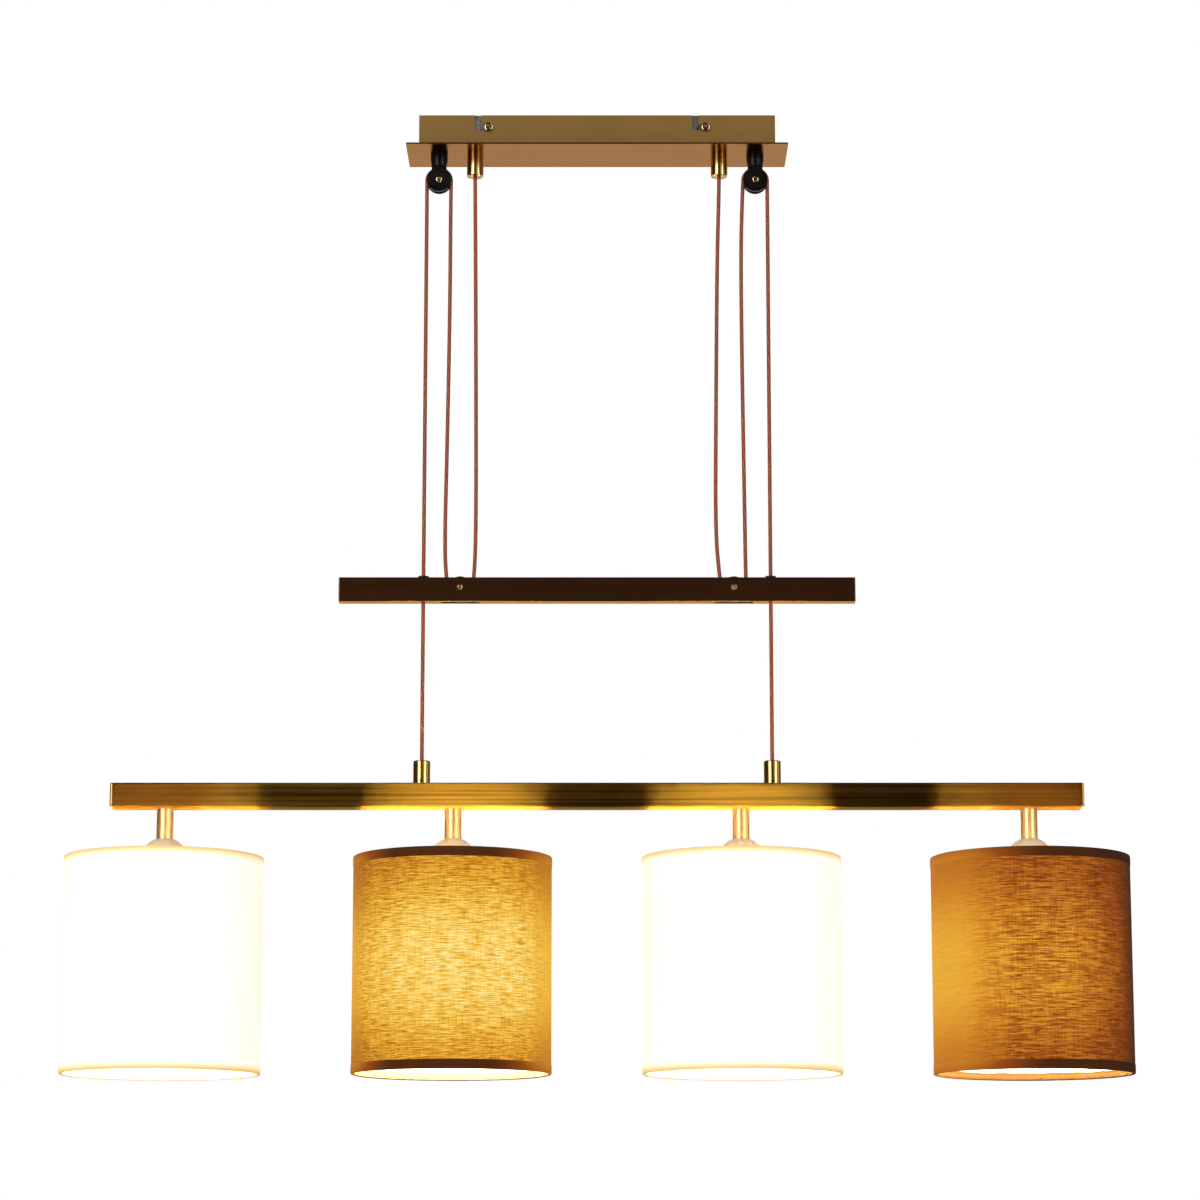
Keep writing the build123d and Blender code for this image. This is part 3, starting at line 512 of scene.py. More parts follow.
@dataclass(frozen=True)
class Glow:
    """How much of the bulb's light shows on the outside of a drum, from 0 to 1.

    The height is above the lower rim. Fade is what is left at the upper rim. The drops are what the drum
    loses towards its left and right sides. Depth is what the yarns hold back, hem is what comes through a
    turned hem, and rim is what is left of that at its very edge.
    """

    strength: float
    depth: float
    height: float
    fade: float
    left_drop: float
    right_drop: float
    hem: float
    rim: float
    side: SideLight
    plateau: float = 0.015


@dataclass(frozen=True)
class Yarns:
    """One layer of a weave: its waves per metre round the drum and up it, and its share of the whole."""

    around: float
    upward: float
    share: float


WEAVE: Dict[str, Yarns] = {
    "slubs": Yarns(62.0, 900.0, 0.48),
    "upright_threads": Yarns(820.0, 60.0, 0.16),
    "short_slubs": Yarns(150.0, 1150.0, 0.28),
    "broad_bands": Yarns(40.0, 3.0, 0.08),
}


@dataclass(frozen=True)
class DrumCloth:
    """Slubby plain weave on a drum, lit through from inside.

    The glow is strongest level with the bulb. Thick yarns hold it back, and so does a turned hem.
    """

    name: str
    tones: ClothTones
    glow: Glow
    centre_x: float
    radius: float
    height: float
    hem: bool
    yarn_proud: float = 0.00025

    def weave(self, bench: Bench, flat: Socket) -> Socket:
        """Draw the yarns: fine uneven slubs across, thin threads upright, and faint broad bands.

        Args:
            bench: The material's nodes.
            flat: The coordinates of the flat cloth.

        Returns:
            The weave, about 0 on a thick yarn and 1 in a gap.
        """
        shift = self.centre_x * 70
        yarns: Any = 0.0
        for number, kind in enumerate(WEAVE.values()):
            scale = (kind.around, kind.upward, 1.0)
            layer = bench.noise(flat, scale, detail=1.0, shift=shift + 3.0 * number)
            yarns = bench.sum("ADD", yarns, bench.sum("MULTIPLY", layer, kind.share))
        knots = bench.noise(flat, (80.0, 850.0, 1.0), detail=0.0, shift=9.0 + shift)
        yarns = bench.sum("SUBTRACT", yarns, bench.ease(knots, 0.68, 0.78, 0.0, 0.14))
        return bench.ease(yarns, 0.32, 0.68)

    def beside(self, bench: Bench, across: Socket) -> Socket:
        """Give the share of the neighbours' light at a place across the drum, from -1 to 1.

        Args:
            bench: The material's nodes.
            across: The place.

        Returns:
            The share, which reaches further in on a hem.
        """
        side = self.glow.side
        spread = HEM_SPREAD if self.hem else 0.0
        left = bench.ease(across, side.left[0], side.left[1] + spread, SIDE_SHARE, 0.0)
        right = bench.ease(across, side.right[0], side.right[1] - spread, SIDE_SHARE, 0.0)
        return bench.sum("ADD", left, right)

    def wide(self, bench: Bench, across: Socket) -> Socket:
        """Give the bulb's light at a place across the drum, which drops where the drum turns away.

        Args:
            bench: The material's nodes.
            across: The place, from -1 to 1.

        Returns:
            The light, from 0 to 1.
        """
        glow = self.glow
        square = bench.sum("MINIMUM", bench.sum("MULTIPLY", across, across), 1.0)
        turned = bench.sum("SUBTRACT", 1.0, bench.sum("SQRT", bench.sum("SUBTRACT", 1.0, square)))
        right = bench.sum("GREATER_THAN", across, 0.0)
        drop = bench.between(right, glow.left_drop * glow.strength, glow.right_drop * glow.strength)
        return bench.sum("SUBTRACT", glow.strength, bench.sum("MULTIPLY", turned, drop))

    def from_rim(self, bench: Bench, up: Socket) -> Socket:
        """Give the distance to the nearer rim, from a height above the lower one."""
        return bench.sum("MINIMUM", up, bench.sum("SUBTRACT", self.height, up))

    def level(self, bench: Bench, flat: Socket, gaps: Socket) -> Socket:
        """Work out how much light shows.

        Args:
            bench: The material's nodes.
            flat: The coordinates of the flat cloth.
            gaps: The weave.

        Returns:
            The light, from 0 to 1.
        """
        glow = self.glow
        up = bench.axis(flat, "Y")
        across = bench.sum("SUBTRACT", bench.axis(bench.place(), "X"), self.centre_x)
        across = bench.sum("DIVIDE", across, self.radius)
        rise = bench.sum("ABSOLUTE", bench.sum("SUBTRACT", up, glow.height))
        tall = bench.ease(rise, glow.plateau, self.height - glow.height, 1.0, glow.fade)
        wide = self.wide(bench, across)
        beside = self.beside(bench, across)
        if self.hem:
            side_level = glow.side.level * HEM_SIDE_SHARE
            lit = bench.between(beside, bench.sum("MULTIPLY", wide, glow.hem), side_level)
            rim = bench.ease(self.from_rim(bench, up), 0.0, HEM_FADE, glow.rim, 1.0)
            return bench.sum("MULTIPLY", lit, rim)
        held = bench.between(gaps, 1.0 - glow.depth, 1.0)
        lit = bench.sum("MULTIPLY", wide, held)
        lit = bench.between(beside, lit, glow.side.level)
        return bench.sum("MULTIPLY", lit, tall)

    def build(self) -> bpy.types.Material:
        """Make the material."""
        bench = Bench.material(self.name)
        flat = bench.unwrapped(CLOTH_UV)
        gaps = self.weave(bench, flat)
        cloth = bench.mix(gaps, linear(self.tones.yarn), linear(self.tones.cloth))
        # Painted shade: the hem's colour goes to the rim colour at the very edge, where less light comes
        # through.
        if self.hem:
            edge = self.from_rim(bench, bench.axis(flat, "Y"))
            cloth = bench.mix(bench.ease(edge, 0.0, HEM_FADE), linear(self.tones.rim), cloth)
        bench.surface(
            Base_Color=cloth,
            Roughness=0.9,
            Sheen_Weight=0.03,
            Sheen_Roughness=0.5,
            Specular_IOR_Level=0.1,
            Emission_Color=bench.ramp(self.level(bench, flat, gaps), self.tones.light),
            Emission_Strength=self.tones.strength,
        )
        bench.relief(gaps, self.yarn_proud, 0.5)
        return bench.owner


@dataclass(frozen=True)
class Lining:
    """White film or turned-in cloth inside a drum, lit by the bulb."""

    name: str
    colour: Colour
    shade: Colour
    glow: Colour
    strength: float
    grain_depth: float = 0.00001

    def build(self) -> bpy.types.Material:
        """Make the material."""
        bench = Bench.material(self.name)
        flat = bench.unwrapped(CLOTH_UV)
        film = bench.noise(flat, (40.0, 300.0, 1.0), detail=3.0)
        bench.surface(
            Base_Color=bench.mix(bench.ease(film, 0.3, 0.7), linear(self.colour), linear(self.shade)),
            Roughness=0.7,
            Specular_IOR_Level=0.1,
            Emission_Color=linear(self.glow),
            Emission_Strength=self.strength,
        )
        bench.relief(film, self.grain_depth, 0.4)
        return bench.owner


@dataclass(frozen=True)
class LitGlass:
    """Opal glass of a lamp that is on, dimmer at its neck."""

    name: str
    glow: Colour
    neck: Colour
    strength: float
    neck_z: float
    globe_z: float
    body: Tuple[float, float, float, float] = (0.9, 0.88, 0.84, 1.0)

    def build(self) -> bpy.types.Material:
        """Make the material."""
        bench = Bench.material(self.name)
        place = bench.place()
        height = bench.ease(bench.axis(place, "Z"), self.neck_z, self.globe_z)
        frost = bench.speckle(place, 900.0)
        colour = bench.mix(height, linear(self.neck), linear(self.glow))
        bench.surface(
            Base_Color=self.body,
            Roughness=bench.ease(frost, 0.3, 0.7, 0.3, 0.42),
            Emission_Color=colour,
            Emission_Strength=self.strength,
        )
        return bench.owner


def dress(finish: Finish, slot: str = "", only: str = "") -> None:
    """Give the CAD nodes of one material slot their finish.

    Args:
        finish: The finish, which is built once.
        slot: The slot's name in the record, where it isn't the finish's own.
        only: The one node that gets it, where it isn't all of them.
    """
    material = finish.build()
    slot = slot or finish.name
    for part in frame["record"]["subparts"]:
        if part["material_slot"] == slot and only in ("", part["node"]):
            mesh = frame["nodes"][part["node"]].data
            mesh.materials.clear()
            mesh.materials.append(material)
            log.info("dressed %s in %s", part["node"], slot)


@dataclass
class CordTube:
    """One stretch of cord: a round tube along a smooth line through given points."""

    name: str
    node: str
    route: List[Point]
    diameter: float
    material: bpy.types.Material
    slot: str
    resolution: int = 32
    sides: int = 14

    def line(self) -> List[Vector]:
        """Read the smooth line's points from a NURBS spline."""
        curve = bpy.data.curves.new(self.name + "_line", "CURVE")
        curve.dimensions = "3D"
        curve.resolution_u = self.resolution
        spline = curve.splines.new("NURBS")
        spline.points.add(len(self.route) - 1)
        for point, place in zip(spline.points, self.route):
            point.co = (*place, 1.0)
        spline.order_u = 3
        spline.use_endpoint_u = True
        holder = bpy.data.objects.new(self.name + "_line", curve)
        mesh = bpy.data.meshes.new_from_object(holder)
        points = [v.co.copy() for v in mesh.vertices]
        bpy.data.objects.remove(holder)
        bpy.data.curves.remove(curve)
        bpy.data.meshes.remove(mesh)
        return points

    def build(self) -> Tuple[bpy.types.Object, List[Vector]]:
        """Make the tube.

        Returns:
            The tube and the points that it follows.
        """
        points = self.line()
        ways = [(b - a).normalized() for a, b in zip(points, points[1:])]
        ways.append(ways[-1])
        tangents = [ways[0]] + [(a + b).normalized() for a, b in zip(ways, ways[1:])]
        side = tangents[0].orthogonal().normalized()
        rings: List[Vector] = []
        lengths: List[float] = []
        run = 0.0
        for i, (point, tangent) in enumerate(zip(points, tangents)):
            if i:
                side.rotate(tangents[i - 1].rotation_difference(tangent))
                run += (point - points[i - 1]).length
            lengths.append(run)
            other = tangent.cross(side)
            for k in range(self.sides):
                angle = 2 * math.pi * k / self.sides
                rings.append(point + (side * math.cos(angle) + other * math.sin(angle)) * self.diameter / 2)
        tube = self.skin(rings, lengths)
        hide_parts(self.node)
        return tube, points

    def skin(self, rings: List[Vector], lengths: List[float]) -> bpy.types.Object:
        """Cover the rings with faces, close both ends and unwrap the tube.

        Args:
            rings: The rings' points, one ring after another.
            lengths: How far along the cord each ring is.

        Returns:
            The tube's object.
        """
        n = self.sides
        count = len(lengths)
        faces = [
            (i * n + k, i * n + (k + 1) % n, (i + 1) * n + (k + 1) % n, (i + 1) * n + k)
            for i in range(count - 1)
            for k in range(n)
        ]
        ends = [tuple(reversed(range(n))), tuple(range((count - 1) * n, count * n))]
        mesh = bpy.data.meshes.new(self.name)
        mesh.from_pydata(rings, [], faces + ends)
        layer = mesh.uv_layers.new(name=CORD_UV)
        for face in mesh.polygons:
            around = [mesh.loops[i].vertex_index % n for i in face.loop_indices]
            wraps = max(around) - min(around) > 1 and len(around) == 4
            for corner, k in zip(face.loop_indices, around):
                u = (k + n if wraps and k == 0 else k) / n
                layer.data[corner].uv = (u, lengths[mesh.loops[corner].vertex_index // n])
            face.use_smooth = len(around) == 4
        mesh.materials.append(self.material)
        return put(self.name, mesh)


@dataclass
class CordRun:
    """One side's cord, from its gland under a wheel in the weight and over a ceiling wheel to the lamp bar.

    The lamp cord is straight, because it slides through the weight. The other two strands are stiff enough
    to bow a little between their ends, each in its own way.
    """

    side: str
    diameter: float = 0.0040
    wrap_radius: float = 0.0125
    anchor_x: float = 0.127
    ceiling_axle_z: float = -0.0624
    weight_axle_z: float = -0.4947
    anchor_top_z: float = -0.047
    lamp_end_z: float = -0.684
    wheel_clearance: float = 0.024
    wrap_steps: int = 6

    def x(self, radii: int) -> float:
        """Give a place along X, so many wheel radii out from the anchor."""
        return SIDES[self.side] * (self.anchor_x + radii * self.wrap_radius)

    def straight(self, radii: int, top: float, low: float) -> List[Point]:
        """List a taut strand's points, with one near each end.

        Args:
            radii: Its place, in wheel radii out from the anchor.
            top: Its upper end.
            low: Its lower end.

        Returns:
            The points from the top down.
        """
        x = self.x(radii)
        heights = [top, top - self.wheel_clearance, (top + low) / 2, low + self.wheel_clearance, low]
        return [(x, 0.0, z) for z in heights]

    def bowed(
        self, radii: int, top: float, low: float, bends: Sequence[Tuple[float, float]]
    ) -> List[Point]:
        """List a stiff strand's points between its two ends.

        Args:
            radii: The place of its ends, in wheel radii out from the anchor.
            top: Its upper end.
            low: Its lower end.
            bends: Distance out from the middle and height of each point between, in metres.

        Returns:
            The points from the top down.
        """
        hand = SIDES[self.side]
        between = [(hand * out, 0.0, z) for out, z in bends]
        return [(self.x(radii), 0.0, top)] + between + [(self.x(radii), 0.0, low)]

    def half_turn(self, radii: int, axle_z: float, upper: bool) -> List[Point]:
        """List the points of a half turn on a wheel, as corners outside the wheel between two ends on it.

        Args:
            radii: The axle's place, in wheel radii out from the anchor.
            axle_z: The axle's height.
            upper: Whether the cord goes over the wheel.

        Returns:
            The points, from the outer side to the inner side.
        """
        step = math.pi / self.wrap_steps
        corner = self.wrap_radius / math.cos(step / 2)
        way = 1 if upper else -1
        angles = [0.0] + [step * (i + 0.5) for i in range(self.wrap_steps)] + [math.pi]
        sizes = [self.wrap_radius] + [corner] * self.wrap_steps + [self.wrap_radius]
        centre = self.x(radii)
        hand = SIDES[self.side]
        return [
            (centre + hand * r * math.cos(a), 0.0, axle_z + way * r * math.sin(a))
            for r, a in zip(sizes, angles)
        ]

    def lead(self) -> List[Point]:
        """List the points of the lead from the gland up into the box and along to the terminal block."""
        hand = SIDES[self.side]
        rise = [(self.anchor_x, 0.0, z) for z in (self.anchor_top_z, -0.045, -0.011)]
        along = [(0.079, 0.009, -0.013), (0.0045, 0.009, -0.008)]
        return [(hand * x, hand * y, z) for x, y, z in rise + along]

    def add(
        self, piece: str, node: str, route: List[Point], bodies: Sequence[str], lay: str,
        material: bpy.types.Material,
    ) -> None:
        """Args:
            piece: The stretch's name.
            node: The CAD node that it stands for.
            route: The stretch's points.
            bodies: The body that it rides on, or the two that it runs between.
            lay: How it lies; not used.
            material: The sheath.
        """
        tube, points = CordTube(piece, node, route, self.diameter, material, "copper_cord").build()
        if len(bodies) == 2:
            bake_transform(tube)
        else:
            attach(tube, bodies[0])

    def build(self, bends: "Bends", material: bpy.types.Material) -> None:
        """Build the five stretches outside and the lead inside the box.

        Args:
            bends: How this side's strands bow.
            material: The sheath.
        """
        top, low = self.ceiling_axle_z, self.weight_axle_z
        weight = self.bowed(2, top, low, bends.weight)
        anchor = self.bowed(0, self.anchor_top_z, low, bends.anchor)
        stretches = [
            ("lamp_cord", self.straight(4, top, self.lamp_end_z), ("canopy", "lamp_bar")),
            ("weight_cord", weight, ("canopy", "counterweight")),
            ("anchor_cord", anchor, ("canopy", "counterweight")),
            ("upper_cord_wrap", self.half_turn(3, top, True), ("canopy",)),
            ("lower_cord_wrap", self.half_turn(1, low, False), ("counterweight",)),
        ]
        for stem, route, bodies in stretches:
            self.add(f"{stem}_{self.side}_sheath", f"{stem}_{self.side}", route, bodies, "taut", material)
        lead = f"supply_lead_{self.side}_sheath"
        self.add(lead, "supply_leads", self.lead(), ("canopy",), "loose", material)


@dataclass(frozen=True)
class Bends:
    """How two strands bow, as points of distance out from the middle and height, in metres."""

    weight: Tuple[Tuple[float, float], ...]
    anchor: Tuple[Tuple[float, float], ...]


BENDS: Dict[str, Bends] = {
    "left": Bends(
        weight=((0.1522, -0.090), (0.1522, -0.210), (0.1540, -0.350), (0.1556, -0.440), (0.1545, -0.479)),
        anchor=((0.1270, -0.068), (0.1258, -0.160), (0.1243, -0.330), (0.1238, -0.430), (0.1249, -0.478)),
    ),
    "right": Bends(
        weight=((0.1510, -0.080), (0.1490, -0.140), (0.1494, -0.260), (0.1509, -0.400), (0.1515, -0.474)),
        anchor=((0.1270, -0.068), (0.1243, -0.150), (0.1222, -0.320), (0.1210, -0.432), (0.1246, -0.482)),
    ),
}


@dataclass
class CeilingBox:
    """The box on the ceiling with its bracket, wiring, forks, wheels and glands."""

    def dress(self) -> None:
        """Finish the box's nodes, and the small parts that are alike all over the light."""
        dress(MattPaint("matt_gold_paint", (133, 98, 36), (147, 110, 45), 0.5))
        plate = BrushedMetal(
            "brushed_copper", (171, 131, 94), (150, 112, 78), 0.2, Grain.ALONG_BAR,
            drawn_out=0.5, contrast=0.5, edge=(233, 204, 180),
        )
        dress(plate)
        dress(SpangledZinc("zinc_steel", (146, 147, 149), (116, 118, 122)))
        dress(BrushedMetal("chrome_screw", (232, 214, 176), (206, 186, 146), 0.16, Grain.NONE))
        dress(Moulded("white_plastic", (236, 234, 228), (222, 219, 210), 0.45))
        dress(BrushedMetal("terminal_brass", (214, 178, 104), (176, 138, 72), 0.3, Grain.NONE))
        dress(Moulded("black_plastic", (16, 14, 13), (24, 21, 19), 0.28, coat=0.05, gloss=0.18))
        dress(Moulded("wheel_plastic", (20, 18, 17), (28, 25, 23), 0.6, gloss=0.12))
        brass = BrushedMetal(
            "bright_brass", (246, 210, 134), (226, 184, 104), 0.2, Grain.ROUND_POST,
            drawn_out=0.3, contrast=1.0, relief=0.0000005,
        )
        dress(brass)


@dataclass
class Counterweight:
    """The flat bar that runs up as the lamps come down."""

    def dress(self) -> None:
        """Finish the counterweight's nodes."""
        bronze = BrushedMetal(
            "dark_bronze", (164, 116, 74), (140, 96, 60), 0.18, Grain.ALONG_BAR,
            drawn_out=0.7, contrast=0.6, coat=0.1, metal=0.955, edge=(255, 208, 124),
        )
        dress(bronze)
        dress(SpangledZinc("iron_weight", (92, 90, 88), (70, 69, 68)))


@dataclass
class LampBar:
    """The square tube that carries the four lamps."""

    def dress(self) -> None:
        """Finish the lamp bar's nodes."""
        # The shaded_ends settings paint shade on the bar's outer ends.
        brass = BrushedMetal(
            "antique_brass", (255, 210, 88), (84, 48, 17), 0.42, Grain.ALONG_TUBE,
            drawn_out=1.0, contrast=0.4, relief=0.000002, edge=(255, 230, 178),
            shaded_ends_from=0.26, shaded_ends_to=0.42,
        )
        dress(brass)
        polished = BrushedMetal("polished_brass", (226, 184, 96), (206, 160, 76), 0.2, Grain.NONE)
        dress(polished, slot="antique_brass", only="lamp_end_caps")
        dress(BrushedMetal("grub_steel", (90, 86, 82), (60, 57, 54), 0.35, Grain.NONE))
        dress(Moulded("wire_sheath", (214, 210, 200), (196, 192, 182), 0.4))


@dataclass(frozen=True)
class ShadeLook:
    """How one shade looks: its slot, the tones of its cloth, its glow and its folds inside."""

    slot: str
    tones: ClothTones
    glow: Glow
    fold: Lining


@dataclass
class Shade:
    """One drum shade: cloth on white film, hems folded round the wire rings and a lapped seam behind."""

    number: int
    look: ShadeLook
    lining: bpy.types.Material
    hem_height: float = 0.0095
    hem_proud: float = 0.0004
    wall: float = 0.0008
    fold_height: float = 0.0075
    fold_swell: float = 0.0030
    rim_round: float = 0.0014
    ripple: float = 0.0004
    seam_width: float = 0.012
    seam_proud: float = 0.0003
    steps: int = 192
    smooth_angle: float = 35.0
    ripples: Tuple[Tuple[int, float, float], ...] = ((5, 1.0, 0.0), (11, 0.7, 1.0), (23, 0.5, 0.0))

    def __post_init__(self) -> None:
        """Take the drum's place and size from its CAD node."""
        low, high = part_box(f"shade_{self.number}")
        self.centre = (low + high) / 2
        self.radius = (high.x - low.x) / 2
        self.inner = self.radius - self.hem_proud - self.wall
        self.low = low.z
        self.high = high.z

    def from_axis(self, co: Vector) -> float:
        """Give a point's distance from the drum's axis."""
        return math.hypot(co.x - self.centre.x, co.y - self.centre.y)

    def from_rim(self, co: Vector) -> float:
        """Give a point's height above the lower rim or below the upper one, whichever is nearer."""
        return min(co.z - self.low, self.high - co.z)

    def rim(self, z: float, way: int) -> List[Tuple[float, float]]:
        """List a rim's outline, from the hem's step outside to the fold's edge inside.

        Args:
            z: The rim's height.
            way: 1 at the lower rim, where the drum is above it, and -1 at the upper rim.

        Returns:
            Points of radius and height.
        """
        outer, inner = self.radius, self.inner
        r = self.rim_round
        swell = inner - self.fold_swell
        return [
            (outer - self.hem_proud, z + way * self.hem_height),
            (outer, z + way * (self.hem_height - self.hem_proud)),
            (outer, z + way * r),
            (outer - r * 0.3, z + way * r * 0.3),
            (outer - r, z),
            (swell + r, z + way * r * 0.1),
            (swell + r * 0.25, z + way * r * 0.6),
            (swell, z + way * r * 1.4),
            (swell + r * 0.3, z + way * r * 2.4),
            (inner - self.hem_proud, z + way * self.fold_height * 0.75),
            (inner - self.hem_proud, z + way * self.fold_height),
            (inner, z + way * (self.fold_height + self.hem_proud)),
        ]

    def turn(self) -> bpy.types.Object:
        """Spin the wall's closed outline about the drum's axis."""
        lower = self.rim(self.low, 1)
        upper = self.rim(self.high, -1)
        outline = lower + upper[::-1]
        bpy.ops.object.select_all(action="DESELECT")
        bpy.ops.mesh.primitive_circle_add(vertices=len(outline), radius=self.radius, fill_type="NOTHING")
        drum = bpy.context.object
        drum.name = drum.data.name = f"drum_shade_{self.number}"
        for vertex, (r, z) in zip(drum.data.vertices, outline):
            vertex.co = (self.centre.x, self.centre.y + r, z)
        bpy.ops.object.mode_set(mode="EDIT")
        bpy.ops.mesh.select_all(action="SELECT")
        axle = (self.centre.x, self.centre.y, 0.0)
        bpy.ops.mesh.spin(steps=self.steps, angle=2 * math.pi, center=axle, axis=(0, 0, 1))
        bpy.ops.mesh.select_all(action="SELECT")
        bpy.ops.mesh.remove_doubles(threshold=self.hem_proud / 8)
        bpy.ops.mesh.normals_make_consistent(inside=False)
        bpy.ops.mesh.select_all(action="DESELECT")
        bpy.ops.object.mode_set(mode="OBJECT")
        return drum

    def lap_seam(self, drum: bpy.types.Object) -> None:
        """Raise the strip behind where the cloth's end laps over its start.

        Args:
            drum: The turned drum.
        """
        body = self.radius - self.hem_proud
        for face in drum.data.polygons:
            spot = face.center - self.centre
            behind = spot.y > 0 and face.normal.y > 0.9
            outside = behind and self.from_axis(face.center) > body - self.wall / 2
            between = self.from_rim(face.center) > self.hem_height
            face.select = outside and between and abs(spot.x) < self.seam_width / 2
        bpy.ops.object.mode_set(mode="EDIT")
        bpy.ops.mesh.extrude_region_move(TRANSFORM_OT_translate={"value": (0, self.seam_proud, 0)})
        bpy.ops.mesh.select_all(action="DESELECT")
        bpy.ops.object.mode_set(mode="OBJECT")

    def ruffle(self, drum: bpy.types.Object) -> None:
        """Let the folded hems' cut edges wander a little.

        Args:
            drum: The turned drum.
        """
        for vertex in drum.data.vertices:
            spot = vertex.co - self.centre
            inside = self.from_axis(vertex.co) < self.inner + self.hem_proud / 2
            if inside and abs(self.from_rim(vertex.co) - self.fold_height) < self.hem_proud * 1.5:
                angle = math.atan2(spot.y, spot.x) + self.number
                wave = sum(size * math.sin(count * angle + turn) for count, size, turn in self.ripples)
                vertex.co.z += self.ripple * wave * (1 if spot.z < 0 else -1)

    def unwrap(self, drum: bpy.types.Object) -> None:
        """Lay the cloth out flat, in metres round and up, with its ends at the seam.

        Args:
            drum: The finished drum.
        """
        mesh = drum.data
        layer = mesh.uv_layers.new(name=CLOTH_UV)
        for face in mesh.polygons:
            middle = self.bearing(face.center)
            for i in face.loop_indices:
                co = mesh.vertices[mesh.loops[i].vertex_index].co
                angle = self.bearing(co)
                angle += 2 * math.pi * round((middle - angle) / (2 * math.pi))
                layer.data[i].uv = (angle * self.radius, co.z - self.low)

    def bearing(self, co: Vector) -> float:
        """Give the angle of a point about the drum's axis, from the seam behind."""
        return math.atan2(-(co.x - self.centre.x), -(co.y - self.centre.y)) + math.pi

    def paint(self, drum: bpy.types.Object) -> None:
        """Give the faces their cloth, hem, lining or turned-in fold.

        Args:
            drum: The finished drum.
        """
        cloth, hem, lining, fold = range(4)
        drum.data.materials.append(self.cloth(False).build())
        drum.data.materials.append(self.cloth(True).build())
        drum.data.materials.append(self.lining)
        drum.data.materials.append(self.look.fold.build())
        for face in drum.data.polygons:
            inside = self.from_axis(face.center) < self.inner + self.wall / 2
            near = self.from_rim(face.center)
            face.material_index = cloth
            if inside and near > self.fold_height + self.hem_proud:
                face.material_index = lining
            elif inside and near > self.rim_round / 2:
                face.material_index = fold
            elif near < self.hem_height:
                face.material_index = hem

    def cloth(self, hem: bool) -> DrumCloth:
        """Describe the drum's cloth or its hem."""
        return DrumCloth(
            name=f"{self.look.slot}_{self.number}" + ("_hem" if hem else ""),
            tones=self.look.tones,
            glow=self.look.glow,
            centre_x=self.centre.x,
            radius=self.radius,
            height=self.high - self.low,
            hem=hem,
        )

    def build(self) -> None:
        """Make the shade and hang it on the lamp bar."""
        drum = self.turn()
        self.lap_seam(drum)
        self.ruffle(drum)
        self.unwrap(drum)
        self.paint(drum)
        bpy.ops.object.shade_smooth_by_angle(angle=math.radians(self.smooth_angle))
        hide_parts(f"shade_{self.number}")
        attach(drum, "lamp_bar")
        log.info("shade %d, %d faces", self.number, len(drum.data.polygons))


